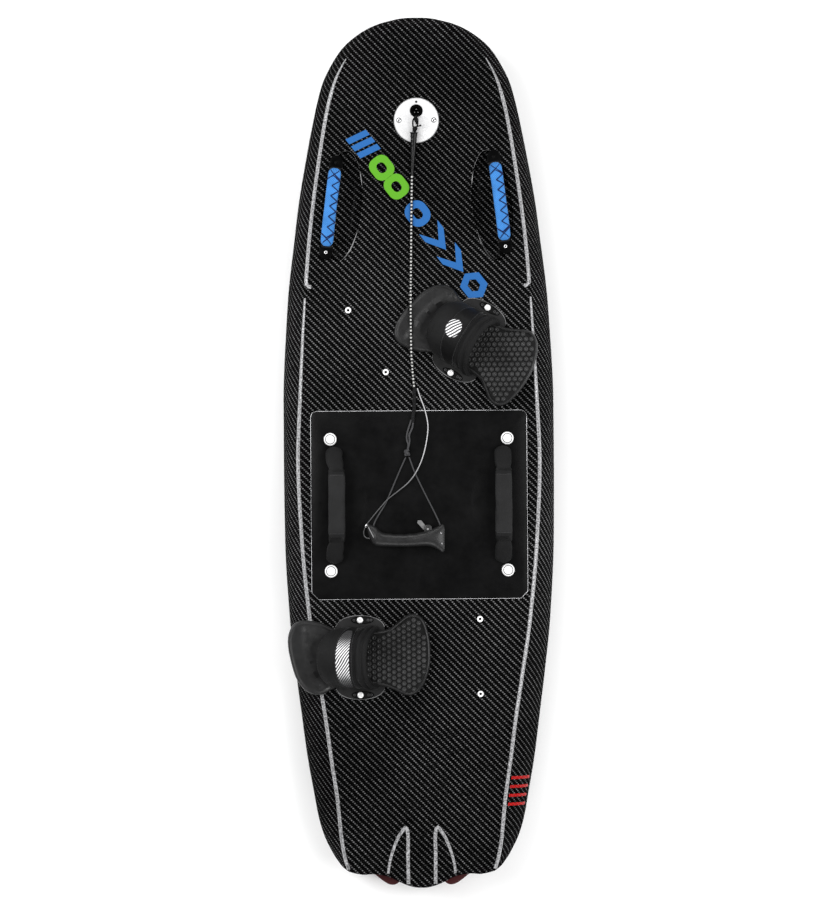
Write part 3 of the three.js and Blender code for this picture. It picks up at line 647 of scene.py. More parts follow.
M = {
    "carbon": carbon("carbon_twill", (0.17, 0.17, 0.172), (0.0001, 0.0001, 0.0001), 0.018),
    "carbon_scoop": carbon("carbon_scoop", (0.15, 0.15, 0.152), (0.0001, 0.0001, 0.0001), 0.02, False),
    "stripe": painted("silver_stripe", (0.42, 0.42, 0.43), 0.34, 2600.0, 0.00004, 0.08, 0.2, 0.2,
                      speckle=0.75),
    "lip": painted("resin_lip", (0.02, 0.02, 0.0205), 0.12, 300.0, 0.0002, 0.2, spec=0.9, coat=1.0),
    "lid": painted("lid_matt_black", (0.0024, 0.0024, 0.0025), 0.34, 1900.0, 0.00004, 0.15, spec=0.06),
    "lid_edge": brushed("lid_edge_metal", (0.42, 0.42, 0.43), 0.3),
    "black": painted("moulded_black", (0.02, 0.02, 0.021), 0.34, 1700.0, 0.00012, 0.15, spec=0.35,
                     worn=(0.09, 0.09, 0.092)),
    "lug": painted("lug_plastic", (0.0008, 0.0008, 0.0009), 0.34, 1700.0, 0.0001, 0.15, spec=0.02),
    "pit": painted("slot_shadow", (0.0015, 0.0015, 0.0015), 0.6, 1700.0, 0.0001, 0.15, spec=0.1),
    "knob": painted("knob_white", (0.84, 0.84, 0.84), 0.3, 1500.0, 0.00004, 0.04, coat=0.3,
                    worn=(0.95, 0.95, 0.95)),
    "rubber": painted("footbed_rubber", (0.0065, 0.0065, 0.0067), 0.4, 1500.0, 0.0002, 0.2, sheen=0.02,
                      spec=0.3, worn=(0.05, 0.05, 0.052)),
    # The heel studs are painted lighter and the floor between them darker than the same footbed rubber:
    # painted highlight and painted shade.
    "tread": painted("tread_studs_painted_highlight", (0.019, 0.019, 0.0193), 0.26, 1500.0, 0.0002, 0.6, sheen=0.02, spec=0.4),
    "tread_gap_painted_shade": painted("tread_gap_painted_shade", (0.0008, 0.0008, 0.0008), 0.6, 1500.0, 0.0002, 0.2, spec=0.15),
    "foam": cloth("neoprene_face", (0.0062, 0.0062, 0.0064), 0.0011, None, 0.6, 0.03, 0.0003),
    "cover": cloth("strap_cover", (0.0028, 0.0028, 0.0029), 0.0016, None, 0.42, 0.02, 0.0003),
    "grip": cloth("grip_sleeve", (0.0125, 0.0125, 0.0128), 0.0012, None, 0.6, 0.05, 0.0003),
    "webbing": cloth("black_webbing", (0.006, 0.006, 0.0065), 0.0018, None, 0.7, 0.06, 0.0005),
    "blue": cloth("blue_sleeve", (0.04, 0.18, 0.47), 0.0022, (0.015, 0.07, 0.22), 0.7, 0.15, 0.0006),
    "lacing": cloth("navy_lacing", (0.005, 0.012, 0.06), 0.0006, None, 0.8, 0.15, 0.0002),
    "rope": rope_material(),
    "whipping": cloth("whipping_twine", (0.009, 0.009, 0.0095), 0.0007, None, 0.7, 0.06, 0.0002, uv=True),
    "bridle": cloth("bridle_cord", (0.045, 0.045, 0.047), 0.0007, None, 0.75, 0.08, 0.0002),
    "cable": cable_material(),
    "hand_rubber": painted("grip_rubber", (0.009, 0.009, 0.0093), 0.36, 1300.0, 0.0002, 0.2, spec=0.35,
                           worn=(0.07, 0.07, 0.07)),
    "plate": painted("satin_plate", (0.73, 0.73, 0.735), 0.3, 2200.0, 0.00003, 0.1, metal=0.15, coat=0.15,
                     speckle=0.12),
    "gloss_black": painted("hook_black", (0.0012, 0.0012, 0.0013), 0.3, 1500.0, 0.00004, 0.1, spec=0.06),
    "boot": painted("tether_boot_rubber", (0.0025, 0.0025, 0.0026), 0.26, 900.0, 0.00008, 0.2, spec=0.2),
    "steel": brushed("turned_steel", (0.74, 0.74, 0.75), 0.26),
    "screw": painted("screw_zinc", (0.88, 0.88, 0.88), 0.25, 1500.0, 0.00003, 0.04, metal=0.2, coat=0.3),
    "aluminium": brushed("anodised_aluminium", (0.36, 0.37, 0.39), 0.36),
    "grey": painted("grey_plastic", (0.19, 0.19, 0.195), 0.35, 1400.0, 0.0001, 0.1, worn=(0.6, 0.6, 0.6)),
    # the trigger's paler edges are a painted highlight
    "trigger": painted("trigger_grey", (0.045, 0.045, 0.046), 0.24, 1400.0, 0.0001, 0.1, spec=0.7,
                       worn=(0.5, 0.5, 0.5)),
    "ear": painted("base_plate_black", (0.016, 0.016, 0.0162), 0.3, 1700.0, 0.00012, 0.3, spec=0.15),
    "ear_edge_highlight": painted("base_plate_painted_highlight", (0.16, 0.16, 0.162), 0.25, 900.0, 0.0001, 0.4, spec=0.5),
    "battery": painted("battery_case", (0.028, 0.03, 0.033), 0.48, 1300.0, 0.00018, 0.15,
                       worn=(0.1, 0.1, 0.1)),
    "seal": painted("seal_rubber", (0.03, 0.03, 0.03), 0.7, 1300.0, 0.0002, 0.2),
    "red": painted("fin_red", (0.05, 0.003, 0.004), 0.38, 1500.0, 0.00008, 0.18, spec=0.25),
    "white": painted("white_ring", (0.82, 0.82, 0.82), 0.35, 1500.0, 0.00005, 0.05),
    "ink_blue": ink("ink_blue", (0.02, 0.12, 0.36)),
    "ink_green": ink("ink_green", (0.1, 0.345, 0.018)),
    "red_film": ink("red_film", (0.42, 0.0, 0.0), 0.15),
    "patch_rear": painted_highlight_label("woven_label_painted_highlight_rear", 1.3, 0.0074),
    "patch_front": painted_highlight_label("woven_label_painted_highlight_front", -1.28, 0.0086),
    "thread": cloth("stitch_thread", (0.05, 0.05, 0.052), 0.0004, None, 0.75, 0.2, 0.0001),
}

CAD_FINISH = {
    "black": ["battery_bay", "motor_controller"], "lug": ["power_socket"],
    "ear": ["front_binding_base", "rear_binding_base"], "battery": ["battery_case"], "seal": ["bay_seal"],
    "grey": ["bay_connector", "intake_grate"], "trigger": ["throttle_trigger"],
    "aluminium": ["pump_duct", "pump_housing", "stator", "jet_nozzle", "motor_case", "motor_mount"],
    "steel": ["motor_rotor", "shaft_tube", "drive_shaft", "impeller"],
    "plate": ["nose_plate"],
    "white": ["insert_front_inner", "insert_front_outer", "insert_rear_front", "insert_rear_back"],
}
for finish, names in CAD_FINISH.items():
    for cad_name in names:
        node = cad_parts[cad_name]
        node.data.materials.clear()
        node.data.materials.append(M[finish])

# ---------------------------------------------------------------- tether

ROPE_FRONT = [(-10, 587.4, 153.8), (-11.2, 540, 153.3), (-12.4, 470, 153.3), (-13.5, 400, 154.2),
              (-14, 370, 158.6), (-14.3, 350, 166), (-14.5, 332, 171.9), (-14.7, 305, 172.4),
              (-14.7, 265, 172.4), (-14.5, 232, 172.4), (-14, 208, 171.8), (-12.9, 190, 165),
              (-11.8, 172, 157), (-10.4, 156, 153.8), (-8.6, 137.2, 154.4)]
SPLICE = [(-8.6, 136.8, 154.6), (-9.1, 94.5, 154.6), (-12, 77, 154.6), (-11.6, 65, 154.6)]
ROPE_REAR = [(-11.6, 64.2, 154), (-14, 52, 153), (-20, 38, 152.7), (-19.6, 24, 152.7), (-23.5, 6, 155)]
BRIDLE_LEFT = [(-28, -9.6, 154.6), (-42, -40, 152.8), (-60, -82, 152.8), (-72, -108, 152.8),
               (-88, -134, 153.4), (-96, -150, 156.6), (-98, -162.4, 161)]
BRIDLE_RIGHT = [(-20.6, -9.2, 154.6), (-8.3, -42.9, 152.8), (12, -86, 152.8), (31, -124, 153.2),
                (42, -148, 156.6), (46.5, -162, 161)]
CABLE = [(-2.2, 137, 151.9), (4, 118, 151.9), (12.5, 94.5, 151.9), (18, 72, 151.9), (19.8, 54, 151.9),
         (18, 33.6, 151.9), (13, 8, 151.9), (5, -18, 153.5), (-8, -44, 157.4), (-24, -64, 155),
         (-46, -82, 153.6), (-66, -97.5, 157.4), (-82, -115, 154.5), (-98, -134, 151.9), (-112, -152, 152.4),
         (-118, -168, 157), (-114.5, -178, 163), (-103.5, -181, 166)]
LOOP = [(-15.5, 70, 154), (-24, 44, 152.6), (-25.5, 30, 152.6), (-22.5, 17, 153.4), (-24, 8, 155.5)]
ROPE_R, REAR_R, LOOP_R, SPLICE_R, CORD_R, CABLE_R = 2.7, 2.1, 1.9, 3.9, 1.7, 1.15
KNOT = (-25, 1, 157)


def braid(base, depth, pitch=0.011):
    """Radius in mm of a braided cord: two sets of four strands wind opposite ways."""
    def radius(along, angle):
        a = math.cos(4 * angle + 2 * math.pi * along / pitch)
        b = math.cos(4 * angle - 2 * math.pi * along / pitch)
        return base - depth + depth * max(a, b)
    return radius


def cord_piece(name, route, radius, r, finish, slot, nodes, step, sides=16):
    """A cord along a smooth route on the lid."""
    path = resample(catmull(route, 16), step)
    piece = sweep(name, path, radius, M[finish], sides)
    ride(piece, "battery", slot, *nodes)
    points = [tuple(c * MM for c in q) for q in path]
    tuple(points[0])
    length_of(points)
    return piece


def add_tether():
    sleeve_path = resample([(-5.2, 679, 163.2), (-7.6, 633, 158.4), (-10, 588, 153.6)], 3)
    sleeve_length, rib_pitch = 0.0918, 0.0045       # metres

    def sleeve_radius(along, angle):
        t = along / sleeve_length
        rib = 0.35 * math.cos(2 * math.pi * along / rib_pitch) if t < 0.35 else 0.0
        return 8.7 - 5.9 * t ** 0.6 + rib
    sleeve = sweep("tether_boot", sleeve_path, sleeve_radius, M["boot"], 28)
    ride(sleeve, "hull", "rubber", "tether_sleeve")

    path = resample(catmull(ROPE_FRONT, 16), 1.1)
    rope = sweep("tether_rope", path, braid(ROPE_R, 0.35, 0.015), M["rope"], 20)
    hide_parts("tether_rope_front")
    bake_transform(rope)
    splice_path = resample(catmull(SPLICE, 12), 0.7)

    def wound(along, angle):
        return SPLICE_R - 0.35 + 0.35 * math.cos(2 * math.pi * along / 0.0016 + angle) \
            - 0.9 * max(0.0, 1 - along / 0.006) - 0.9 * max(0.0, (along - 0.0665) / 0.006)
    splice = sweep("tether_whipping", splice_path, wound, M["whipping"], 24)
    ride(splice, "battery", "rope", "tether_splice")
    points = [tuple(c * MM for c in q) for q in path]
    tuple(points[0])
    length_of(points)

    knot_bumps = []
    for i, (dx, dy, dz, rx, ry, rz, turn) in enumerate((
            (0, 3.5, -0.4, 5.4, 3.4, 4.6, 0.5), (0.6, -1.6, 0.2, 6.2, 3.6, 5.2, -0.5),
            (-2.4, -4.6, -0.8, 3.6, 3.2, 3.6, 0.2), (3.2, -4.2, -0.8, 3.6, 3.2, 3.6, -0.2),
            (-3.6, 1.2, -1.0, 3.0, 4.6, 3.2, 0.1))):
        knot_bumps.append(ball(f"knot_{i}", (KNOT[0] + dx, KNOT[1] + dy, KNOT[2] + dz), (rx, ry, rz),
                               M["bridle"], turn, 24, 12))
    knot = join(knot_bumps, "tether_knot")
    ride(knot, "battery", "rope")
    cord_piece("tether_tail", ROPE_REAR, braid(REAR_R, 0.3), REAR_R, "bridle", "rope", ["tether_rope_rear"],
               0.9)
    cord_piece("tether_loop", LOOP, braid(LOOP_R, 0.25), LOOP_R, "bridle", "rope", [], 0.9,
               14)
    for word, route in (("left", BRIDLE_LEFT), ("right", BRIDLE_RIGHT)):
        cord_piece(f"bridle_cord_{word}", route, braid(CORD_R, 0.28), CORD_R, "bridle", "rope",
                   [f"bridle_{word}"], 1.0)
    cord_piece("throttle_lead", CABLE, CABLE_R, CABLE_R, "cable", "grey_plastic", ["throttle_cable"],
               1.6, 14)
    crimp = lathe("cable_ferrule", [(0, -4), (2.5, -4), (2.9, -3.4), (2.9, 3.4), (2.5, 4), (0, 4)], (0, 0, 0),
                  M["steel"], 24, "X")
    at = Vector((-112.5, -153.5, 153.1)) * MM
    crimp.matrix_world = Matrix.Translation(at) @ Matrix.Rotation(math.radians(58), 4, "Z")
    ride(crimp, "battery", "steel")


add_tether()

# ---------------------------------------------------------------- hull

# Stations: y, half beam, half width of the flat deck, height of the deck, height of the bottom; all in mm
LINES = [[925, 42, 26, 141, 112], [915, 80, 61, 146, 107], [898, 116, 93, 149, 99], [864, 158, 130, 150, 86],
         [820, 187, 159, 150, 72], [792, 200.5, 172, 150, 64], [749, 213, 185, 150, 53],
         [707, 222.5, 194, 150, 43], [622, 239.5, 208, 150, 27], [537, 254.5, 220, 150, 14],
         [452, 265.5, 230, 150, 6], [354, 277.5, 238, 150, 1], [282, 283, 243, 150, 0],
         [112, 290.8, 252, 150, 0], [-15, 291, 257, 150, 0], [-185, 289.5, 250, 150, 0],
         [-355, 280.5, 234, 150, 0], [-483, 266.5, 215, 150, 0], [-560, 256.5, 203, 150, 0]]
TAIL_LINES = [[-652, 244.5, 191], [-738, 229.5, 179], [-780, 222, 175], [-822, 210, 171], [-865, 189, 164],
              [-885, 177, 158], [-935, 163, 146]]


def tail_heights(y):
    """Deck and bottom aft of the break."""
    return DECK - (TAIL_BREAK - y) * DECK_FALL, (TAIL_BREAK - y) * BOTTOM_RISE


LINES += [[y, w, s, *tail_heights(y)] for y, w, s in TAIL_LINES]
STERN = [(189, -865), (178, -880), (159, -892), (128, -900), (106, -899), (82, -902), (66, -907), (51, -915),
         (30, -924), (12, -928.5), (0, -929)]
SCOOP_CUT = 0.998     # the deck plane cuts the scoop's ellipsoid just above its middle
PART_SHARE = 0.52     # how far down the side the two shells meet
STATION_Y = [row[0] for row in LINES]
NOSE = STATION_Y[0]   # the foremost station, mm
NOSE_TIP = 927.0      # the nose closes in a dome past it
AFT = -940.0          # behind the stern, which is cut out of the shells
INNER_NOSE = 898.0    # the inner skins stop short of the nose


def hermite(ys, values, y):
    """Monotone-ish cubic through the station values, for y falling along the list."""
    k = 0
    while k < len(ys) - 2 and y < ys[k + 1]:
        k += 1
    h = ys[k + 1] - ys[k]
    slope = (values[k + 1] - values[k]) / h

    def tangent(i):
        if i == 0 or i == len(ys) - 1:
            j = min(i, len(ys) - 2)
            return (values[j + 1] - values[j]) / (ys[j + 1] - ys[j])
        before = (values[i] - values[i - 1]) / (ys[i] - ys[i - 1])
        after = (values[i + 1] - values[i]) / (ys[i + 1] - ys[i])
        if before * after <= 0:
            return 0.0
        return 2 * before * after / (before + after)
    t = (y - ys[k]) / h
    m0, m1 = tangent(k), tangent(k + 1)
    if slope == 0:
        m0 = m1 = 0.0
    return ((2 * t ** 3 - 3 * t ** 2 + 1) * values[k] + (t ** 3 - 2 * t ** 2 + t) * h * m0
            + (-2 * t ** 3 + 3 * t ** 2) * values[k + 1] + (t ** 3 - t ** 2) * h * m1)


def lines_at(y):
    """Half beam, half width of the flat deck, and heights of deck and bottom at y."""
    y = min(STATION_Y[0], max(STATION_Y[-1], y))
    w, s, top, low = (hermite(STATION_Y, [row[c] for row in LINES], y) for c in (1, 2, 3, 4))
    return (w, s, *tail_heights(y)) if y <= TAIL_BREAK else (w, s, top, low)


def half_section(y, inset, upper):
    """Half of a cross-section in mm, from the middle out to the line where the shells part."""
    w, s, top, low = lines_at(y)
    s, w, top, low = s - 0.8 * inset, w - inset, top - inset, low + inset
    h = top - low
    side = [(s, top), (s + 0.62 * (w - s), top - 0.22 * h), (w - 0.012 * w, top - 0.4 * h),
            (w, top - PART_SHARE * h), (w - min(6, 0.05 * w), top - 0.68 * h),
            (w - min(22, 0.16 * w), low + 0.12 * h), (w - min(46, 0.36 * w), low)]
    curve = smooth_plan(side, 6)
    if upper:
        flat = [(0, top), (0.5 * s, top), (0.97 * s, top)]
        return flat + curve[:3 * 6] + [(w, top - PART_SHARE * h + 0.15)]
    return [(w, top - PART_SHARE * h - 0.15)] + curve[3 * 6 + 1:] + [(0.5 * curve[-1][0], low), (0, low)]


def stations(step=13.0):
    """Where the shells have a section: close together at the nose, then evenly."""
    ys = [NOSE_TIP - d for d in (0.0, 0.5, 1.4)]
    ys += [NOSE - d for d in (0, 1.5, 4, 7, 10, 14, 19, 27, 34, 42, 51)]
    y = 864.0
    while y > AFT:
        ys.append(y)
        y -= step
    ys = [y for y in ys if abs(y - TAIL_BREAK) > 4] + [TAIL_BREAK, AFT]
    return sorted(set(ys), reverse=True)


def section_at(y, inset, upper):
    """Past the last station the nose closes in a shallow dome."""
    if y <= NOSE:
        return half_section(y, inset, upper)
    share = max(0.05, math.sqrt(max(0.0, 1 - (y - NOSE) / (NOSE_TIP - NOSE))))
    tops = half_section(NOSE, inset, upper)
    _, _, top, low = lines_at(NOSE)
    middle = top - PART_SHARE * (top - low)
    return [(x * share, middle + (z - middle) * (0.55 + 0.45 * share)) for x, z in tops]


def both_halves(half, upper):
    """A half section and its mirror image, from port to starboard."""
    if upper:
        half = half[::-1]
    return [(-x, z) for x, z in half] + [(x, z) for x, z in half[-2::-1]]


def shell(name, upper, material):
    """Half of the hull as a closed skin; its UVs are the girth and the length in metres."""
    ys = stations()
    outer_rows, inner_rows, verts, uv_of = [], [], [], []
    for y in ys:
        outer = both_halves(section_at(y, 0, upper), upper)
        inner = both_halves(section_at(min(INNER_NOSE, y), SKIN, upper), upper)
        inner_y = min(y, INNER_NOSE + 0.02 * (y - INNER_NOSE))
        outer_rows.append([(x, y, z) for x, z in outer])
        inner_rows.append([(x, inner_y, z) for x, z in inner[::-1]])
    count = len(outer_rows[0])
    for rows, row_in in zip(outer_rows, inner_rows):
        for ring in (rows, row_in):
            run, total = [], 0.0
            for k, v in enumerate(ring):
                if k:
                    total += math.hypot(v[0] - ring[k - 1][0], v[2] - ring[k - 1][2])
                run.append(total)
            uv_of += [((r - total / 2) * MM, v[1] * MM) for r, v in zip(run, ring)]
        verts += rows + row_in
    wide = 2 * count
    faces = grid_faces(len(ys), wide, True)
    faces += [tuple(range(wide)), tuple((len(ys) - 1) * wide + k for k in range(wide))[::-1]]
    uvs = [uv_of[index] for face in faces for index in face]
    piece = mesh_piece(name, verts, faces, material, True, uvs)
    return outward(piece)


def stern_block():
    """A block whose aft face is the stern's outline in plan."""
    edge = [(-x, y) for x, y in STERN[:-1]] + STERN[::-1]
    outline = [(-400, STERN[0][1])] + smooth_plan(edge, 5) + [(400, STERN[0][1]), (400, 1000), (-400, 1000)]
    return prism("cutter", outline, -60, 320, None)


def lid_outline(grow, corner=14.0, chamfer=15.0, half=230.0, front=90.0, back=-311.0):
    x, top, low = half + grow, front + grow, back - grow
    arc = [(math.cos(a), math.sin(a)) for a in np.linspace(0, math.pi / 2, 10)]
    right = [(x - corner + corner * c, top - corner + corner * s) for c, s in arc]
    return [(-x + chamfer, low), (x - chamfer, low), (x, low + chamfer)] + right \
        + [(-px, py) for px, py in right[::-1]] + [(-x, low + chamfer)]


def scoop_ball(side, grow, name="cutter", material=None):
    """The ellipsoid a finger scoop is cut with."""
    return ball(name, (side * SCOOP_AT[0], SCOOP_AT[1], DECK + 2), tuple(r + grow for r in SCOOP_R), material,
                side * SCOOP_TURN, 64, 32)


PLATE_Y, SOCKET_Y = 706, 726         # centres of the nose plate and its socket
KNOB_X, KNOB_Y = 188, (30, -250)     # turn-lock knobs
SCOOP_AT = (160, 525)                # finger scoops under the carry handles
SCOOP_R = (42, 118, 30)
SCOOP_TURN = 0.105
INSERTS = {"insert_front_inner": (-69, 172), "insert_front_outer": (-148, 304),
           "insert_rear_front": (127.5, -354), "insert_rear_back": (127.5, -513)}


def jet_bore():
    """The hole for the jet nozzle in the stern."""
    return lathe("cutter", [(0, -960), (JET_BORE, -960), (JET_BORE, -860), (0, -860)], (0, 0, JET_Z), None,
                 48, "Y")


def add_hull():
    deck = shell("deck_laminate", True, M["carbon"])
    cutters = [prism("cutter", lid_outline(1), 120, 170, None), scoop_ball(-1, 0), scoop_ball(1, 0),
               post(0, SOCKET_Y, 130, 160, 12.6)]
    cutters += [post(x, y, 130, 160, 6.8) for x, y in INSERTS.values()]
    cutters.append(jet_bore())
    boolean(deck, [stern_block()], "INTERSECT")
    boolean(deck, cutters)
    shade(deck, True, 38)
    ride(deck, "hull", "carbon", "deck_shell")

    for side, word in SIDES:
        cup = scoop_ball(side, 3, f"finger_scoop_{word}", M["carbon_scoop"])
        boolean(cup, [scoop_ball(side, 0)])
        below = [(-400, 300), (400, 300), (400, 800), (-400, 800)]
        boolean(cup, [prism("cutter", below, 60, DECK - 0.4, None)], "INTERSECT")
        shade(cup, True, 38)
        ride(cup, "hull", "carbon")
        turn = side * SCOOP_TURN
        lips = []
        for first, last, thick in ((-80, -24, 1.3), (24, 42, 1.2), (46, 120, 0.2)):
            arc = []
            for share in np.linspace(0, 1, 40):
                a = math.radians(first + (last - first) * share)
                ex, ey = -side * SCOOP_R[0] * SCOOP_CUT * math.cos(a), SCOOP_R[1] * SCOOP_CUT * math.sin(a)
                arc.append((side * SCOOP_AT[0] + ex * math.cos(turn) - ey * math.sin(turn),
                            SCOOP_AT[1] + ex * math.sin(turn) + ey * math.cos(turn), DECK - 0.2))
            whole = length_of([Vector(q) * MM for q in arc])

            def bead(along, angle):
                return 0.25 + thick * math.sin(math.pi * min(1.0, along / whole))
            lips.append(sweep("lip", arc, bead, M["lip"], 10))
        lip = join(lips, f"scoop_lip_{word}")
        ride(lip, "hull", "carbon")

    bottom = shell("bottom_laminate", False, M["carbon"])
    boolean(bottom, [stern_block()], "INTERSECT")
    duct = sweep("cutter", resample(catmull([(0, -410, -59), (0, -490, -15), (0, -570, 30), (0, -625, 62),
                                             (0, -665, JET_Z), (0, -700, JET_Z)], 8), 8), 41, None, 40)
    boolean(bottom, [duct, jet_bore()])
    shade(bottom, True, 38)
    ride(bottom, "hull", "carbon", "bottom_shell")


def add_fins():
    """Red keel blades under the tail; each ends in a raised tip behind the stern."""
    def bottom(y):
        return tail_heights(y)[1]
    for side, word in SIDES:
        ys = np.linspace(-800, -926, 40)
        rows = []
        for y in ys:
            t = (-800 - y) / 126
            near = 48 + 12 * max(0.0, t - 0.86) / 0.14
            far = 70 + 36 * math.sin(min(1.0, t / 0.75) * math.pi / 2)
            far -= 34 * max(0.0, (t - 0.8) / 0.2) ** 1.6
            ring = []
            for share, drop in ((0, 0.6), (0.33, 0.6), (0.66, 6.5), (1, 17.2), (1, 19.4), (0.66, 11),
                                (0.33, 6.6), (0, 6.2)):
                ring.append((side * (near + (far - near) * share), y, bottom(y) - drop - 0.4))
            rows.append(ring)
        faces = tube_faces(len(rows), len(rows[0]))
        verts = [v for ring in rows for v in ring]
        blade = outward(mesh_piece(f"keel_{word}", verts, faces, M["red"], True, None, 40))
        rim = [(108, -901.5), (96, -913), (82, -924), (70, -930.5), (59, -931), (50, -926), (45, -917),
               (52, -914), (66, -905.5), (82, -900.5), (94, -900)]
        tip = prism("tip", [(x * side, y) for x, y in smooth_plan(rim, 4, True)], 14, 72, M["red"])
        bevel(tip, 2.4, 3)
        ride(join([blade, tip]), "hull", "fin_red", f"fin_{word}")


add_hull()
add_fins()


INK = 0.35            # how far a painted line stands off the laminate, mm


def deck_point(x, y, lift):
    """A point on the hull's upper surface."""
    half = half_section(y, 0, True)
    xs, zs = [h[0] for h in half], [h[1] for h in half]
    return Vector((x, y, float(np.interp(abs(x), xs, zs)) + lift))


def ribbon(name, centre, width, material, slot="carbon"):
    """A thin painted line on the hull; centre is (x, y) points in mm, width a number or a function."""
    p = [Vector((*q[:2], 0)) for q in centre]
    verts = []
    for i, q in enumerate(p):
        along = (p[min(i + 1, len(p) - 1)] - p[max(i - 1, 0)]).normalized()
        across = Vector((along.y, -along.x, 0))
        w = (width(i / (len(p) - 1)) if callable(width) else width) / 2
        for share in (-1, -0.94, -0.5, 0, 0.5, 0.94, 1):
            at = q + across * w * share
            verts.append(deck_point(at.x, at.y, INK if abs(share) < 1 else -0.3))
        verts.append(deck_point(q.x, q.y, -0.6))
    faces = tube_faces(len(p), len(verts) // len(p))
    piece = outward(mesh_piece(name, verts, faces, material, True, None, 50))
    return ride(piece, "hull", slot)


def add_stripes():
    for side, word in SIDES:
        front_y = np.linspace(838, 366, 80)
        points = [(side * (lines_at(y)[1] - 0.2), float(y)) for y in front_y]
        points += [(side * (lines_at(358)[1] - 1.5), 358.5), (side * (lines_at(354)[1] - 6), 354.5),
                   (side * (lines_at(354)[1] - 12), 354)]
        ribbon(f"stripe_front_{word}", points, lambda t: 2.2 + 5.6 * min(1.0, t / 0.16), M["stripe"])
        rear_y = np.linspace(330, -889, 170)
        ribbon(f"stripe_rear_{word}", [(side * (lines_at(y)[1] - 0.2), float(y)) for y in rear_y],
               lambda t: 4.5 + 3.4 * min(1.0, t / 0.2), M["stripe"])
        inner = [(side * 29, -921.0), (side * 29.5, -860), (side * 29, -820), (side * 31, -803),
                 (side * 34.5, -798), (side * 39, -803), (side * 51, -822), (side * 62, -850),
                 (side * 69, -876), (side * 72, -898)]
        ribbon(f"stripe_stern_{word}",
               [tuple(q) for q in resample(catmull([(x, y, 0) for x, y in inner], 10), 4)],
               lambda t: 7.6 if t < 0.5 else 7.6 - 2.4 * (t - 0.5) * 2, M["stripe"])


add_stripes()


# Generic coloured shapes stand where the photograph has lettering.
def add_graphics():
    origin, along, up = Vector((-111.0, 653.5, 0)), Vector((0.61, -0.79, 0)), Vector((0.79, 0.61, 0))

    def place(name, shape, t, material, hole=None):
        def put(points):
            return [tuple((origin + along * (t + a * 1.12) + up * b * 1.12)[:2]) for a, b in points]
        piece = prism(name, put(shape), DECK - 0.2, DECK + 0.3, material)
        if hole:
            boolean(piece, [prism("cutter", put(hole), DECK - 3, DECK + 3, None)])
            shade(piece, False)
        ride(piece, "hull", "blue_cover" if material == M["ink_blue"] else "white_plastic")

    def pill(w, h, r, n=8):
        out = []
        for cx, cy, a0 in ((w - r, h - r, 0), (r - w, h - r, 90), (r - w, r - h, 180), (w - r, r - h, 270)):
            arc = [math.radians(a0 + 90 * k / n) for k in range(n + 1)]
            out += [(cx + r * math.cos(a), cy + r * math.sin(a)) for a in arc]
        return out

    bar = [(-6, -21), (6, -21), (6, 21), (-6, 21)]
    for i, shift in enumerate((-23, -4, 15)):
        place(f"graphic_bar_{i}", [(a + b * 0.22, b) for a, b in bar], shift, M["ink_blue"])
    place("graphic_pill_0", pill(23, 21, 16), 60, M["ink_green"], pill(10.5, 8.5, 8))
    place("graphic_pill_1", pill(23, 21, 16), 111, M["ink_green"], pill(10.5, 8.5, 8))
    place("graphic_block", pill(25, 22, 20), 184, M["ink_blue"], pill(11, 8, 7.5))
    chevron = [(-28, -22), (-9, -22), (27, 0), (-9, 22), (-28, 22), (4, 0)]
    place("graphic_chevron_0", chevron, 252, M["ink_blue"])
    place("graphic_chevron_1", chevron, 312, M["ink_blue"])
    hexagon = [(28 * math.cos(math.radians(a)), 26 * math.sin(math.radians(a))) for a in range(0, 360, 60)]
    place("graphic_hexagon", hexagon, 378, M["ink_blue"], [(a * 0.48, b * 0.44) for a, b in hexagon])
    for i in range(4):
        y = -694.0 - 19.0 * i
        w, s, _, _ = lines_at(y)
        slant = [(s + 7 + (w - s - 12) * t, y - 3.0 * t) for t in np.linspace(0, 1, 9)]
        ribbon(f"mark_red_{i}", slant, 6.6, M["red_film"], slot="fin_red")


add_graphics()

# ---------------------------------------------------------------- hatch lid, knobs and grips


def add_hatch_rim():
    """A bright bead along the lid's edge."""
    rim = [Vector((x, y, DECK - 0.1)) for x, y in lid_outline(0.05)]
    ring = resample(rim + [rim[0]], 4.0)[:-1]
    centre = Vector((0, -110.5, 0))
    half_x, half_y, near = 230, 200.5, 16
    section = ((0, -1.2), (0.15, 0.35), (0.45, 0.5), (0.85, 0.3), (0.9, -1.2))      # inward, up
    verts, faces, n = [], [], len(ring)
    for q in ring:
        away = q - centre
        inward = Vector((-math.copysign(1, away.x) if abs(abs(away.x) - half_x) < near else 0,
                         -math.copysign(1, away.y) if abs(abs(away.y) - half_y) < near else 0, 0))
        if inward.length < 0.5:
            inward = (centre - q).normalized()
        inward.normalize()
        verts += [q + Vector((0, 0, up)) + inward * share for share, up in section]
    for i in range(n):
        j = (i + 1) % n
        for k in range(5):
            m = (k + 1) % 5
            faces.append((i * 5 + k, i * 5 + m, j * 5 + m, j * 5 + k))
    ride(outward(mesh_piece("hatch_rim", verts, faces, M["lid_edge"], True, None, 50)), "battery",
         "aluminium")


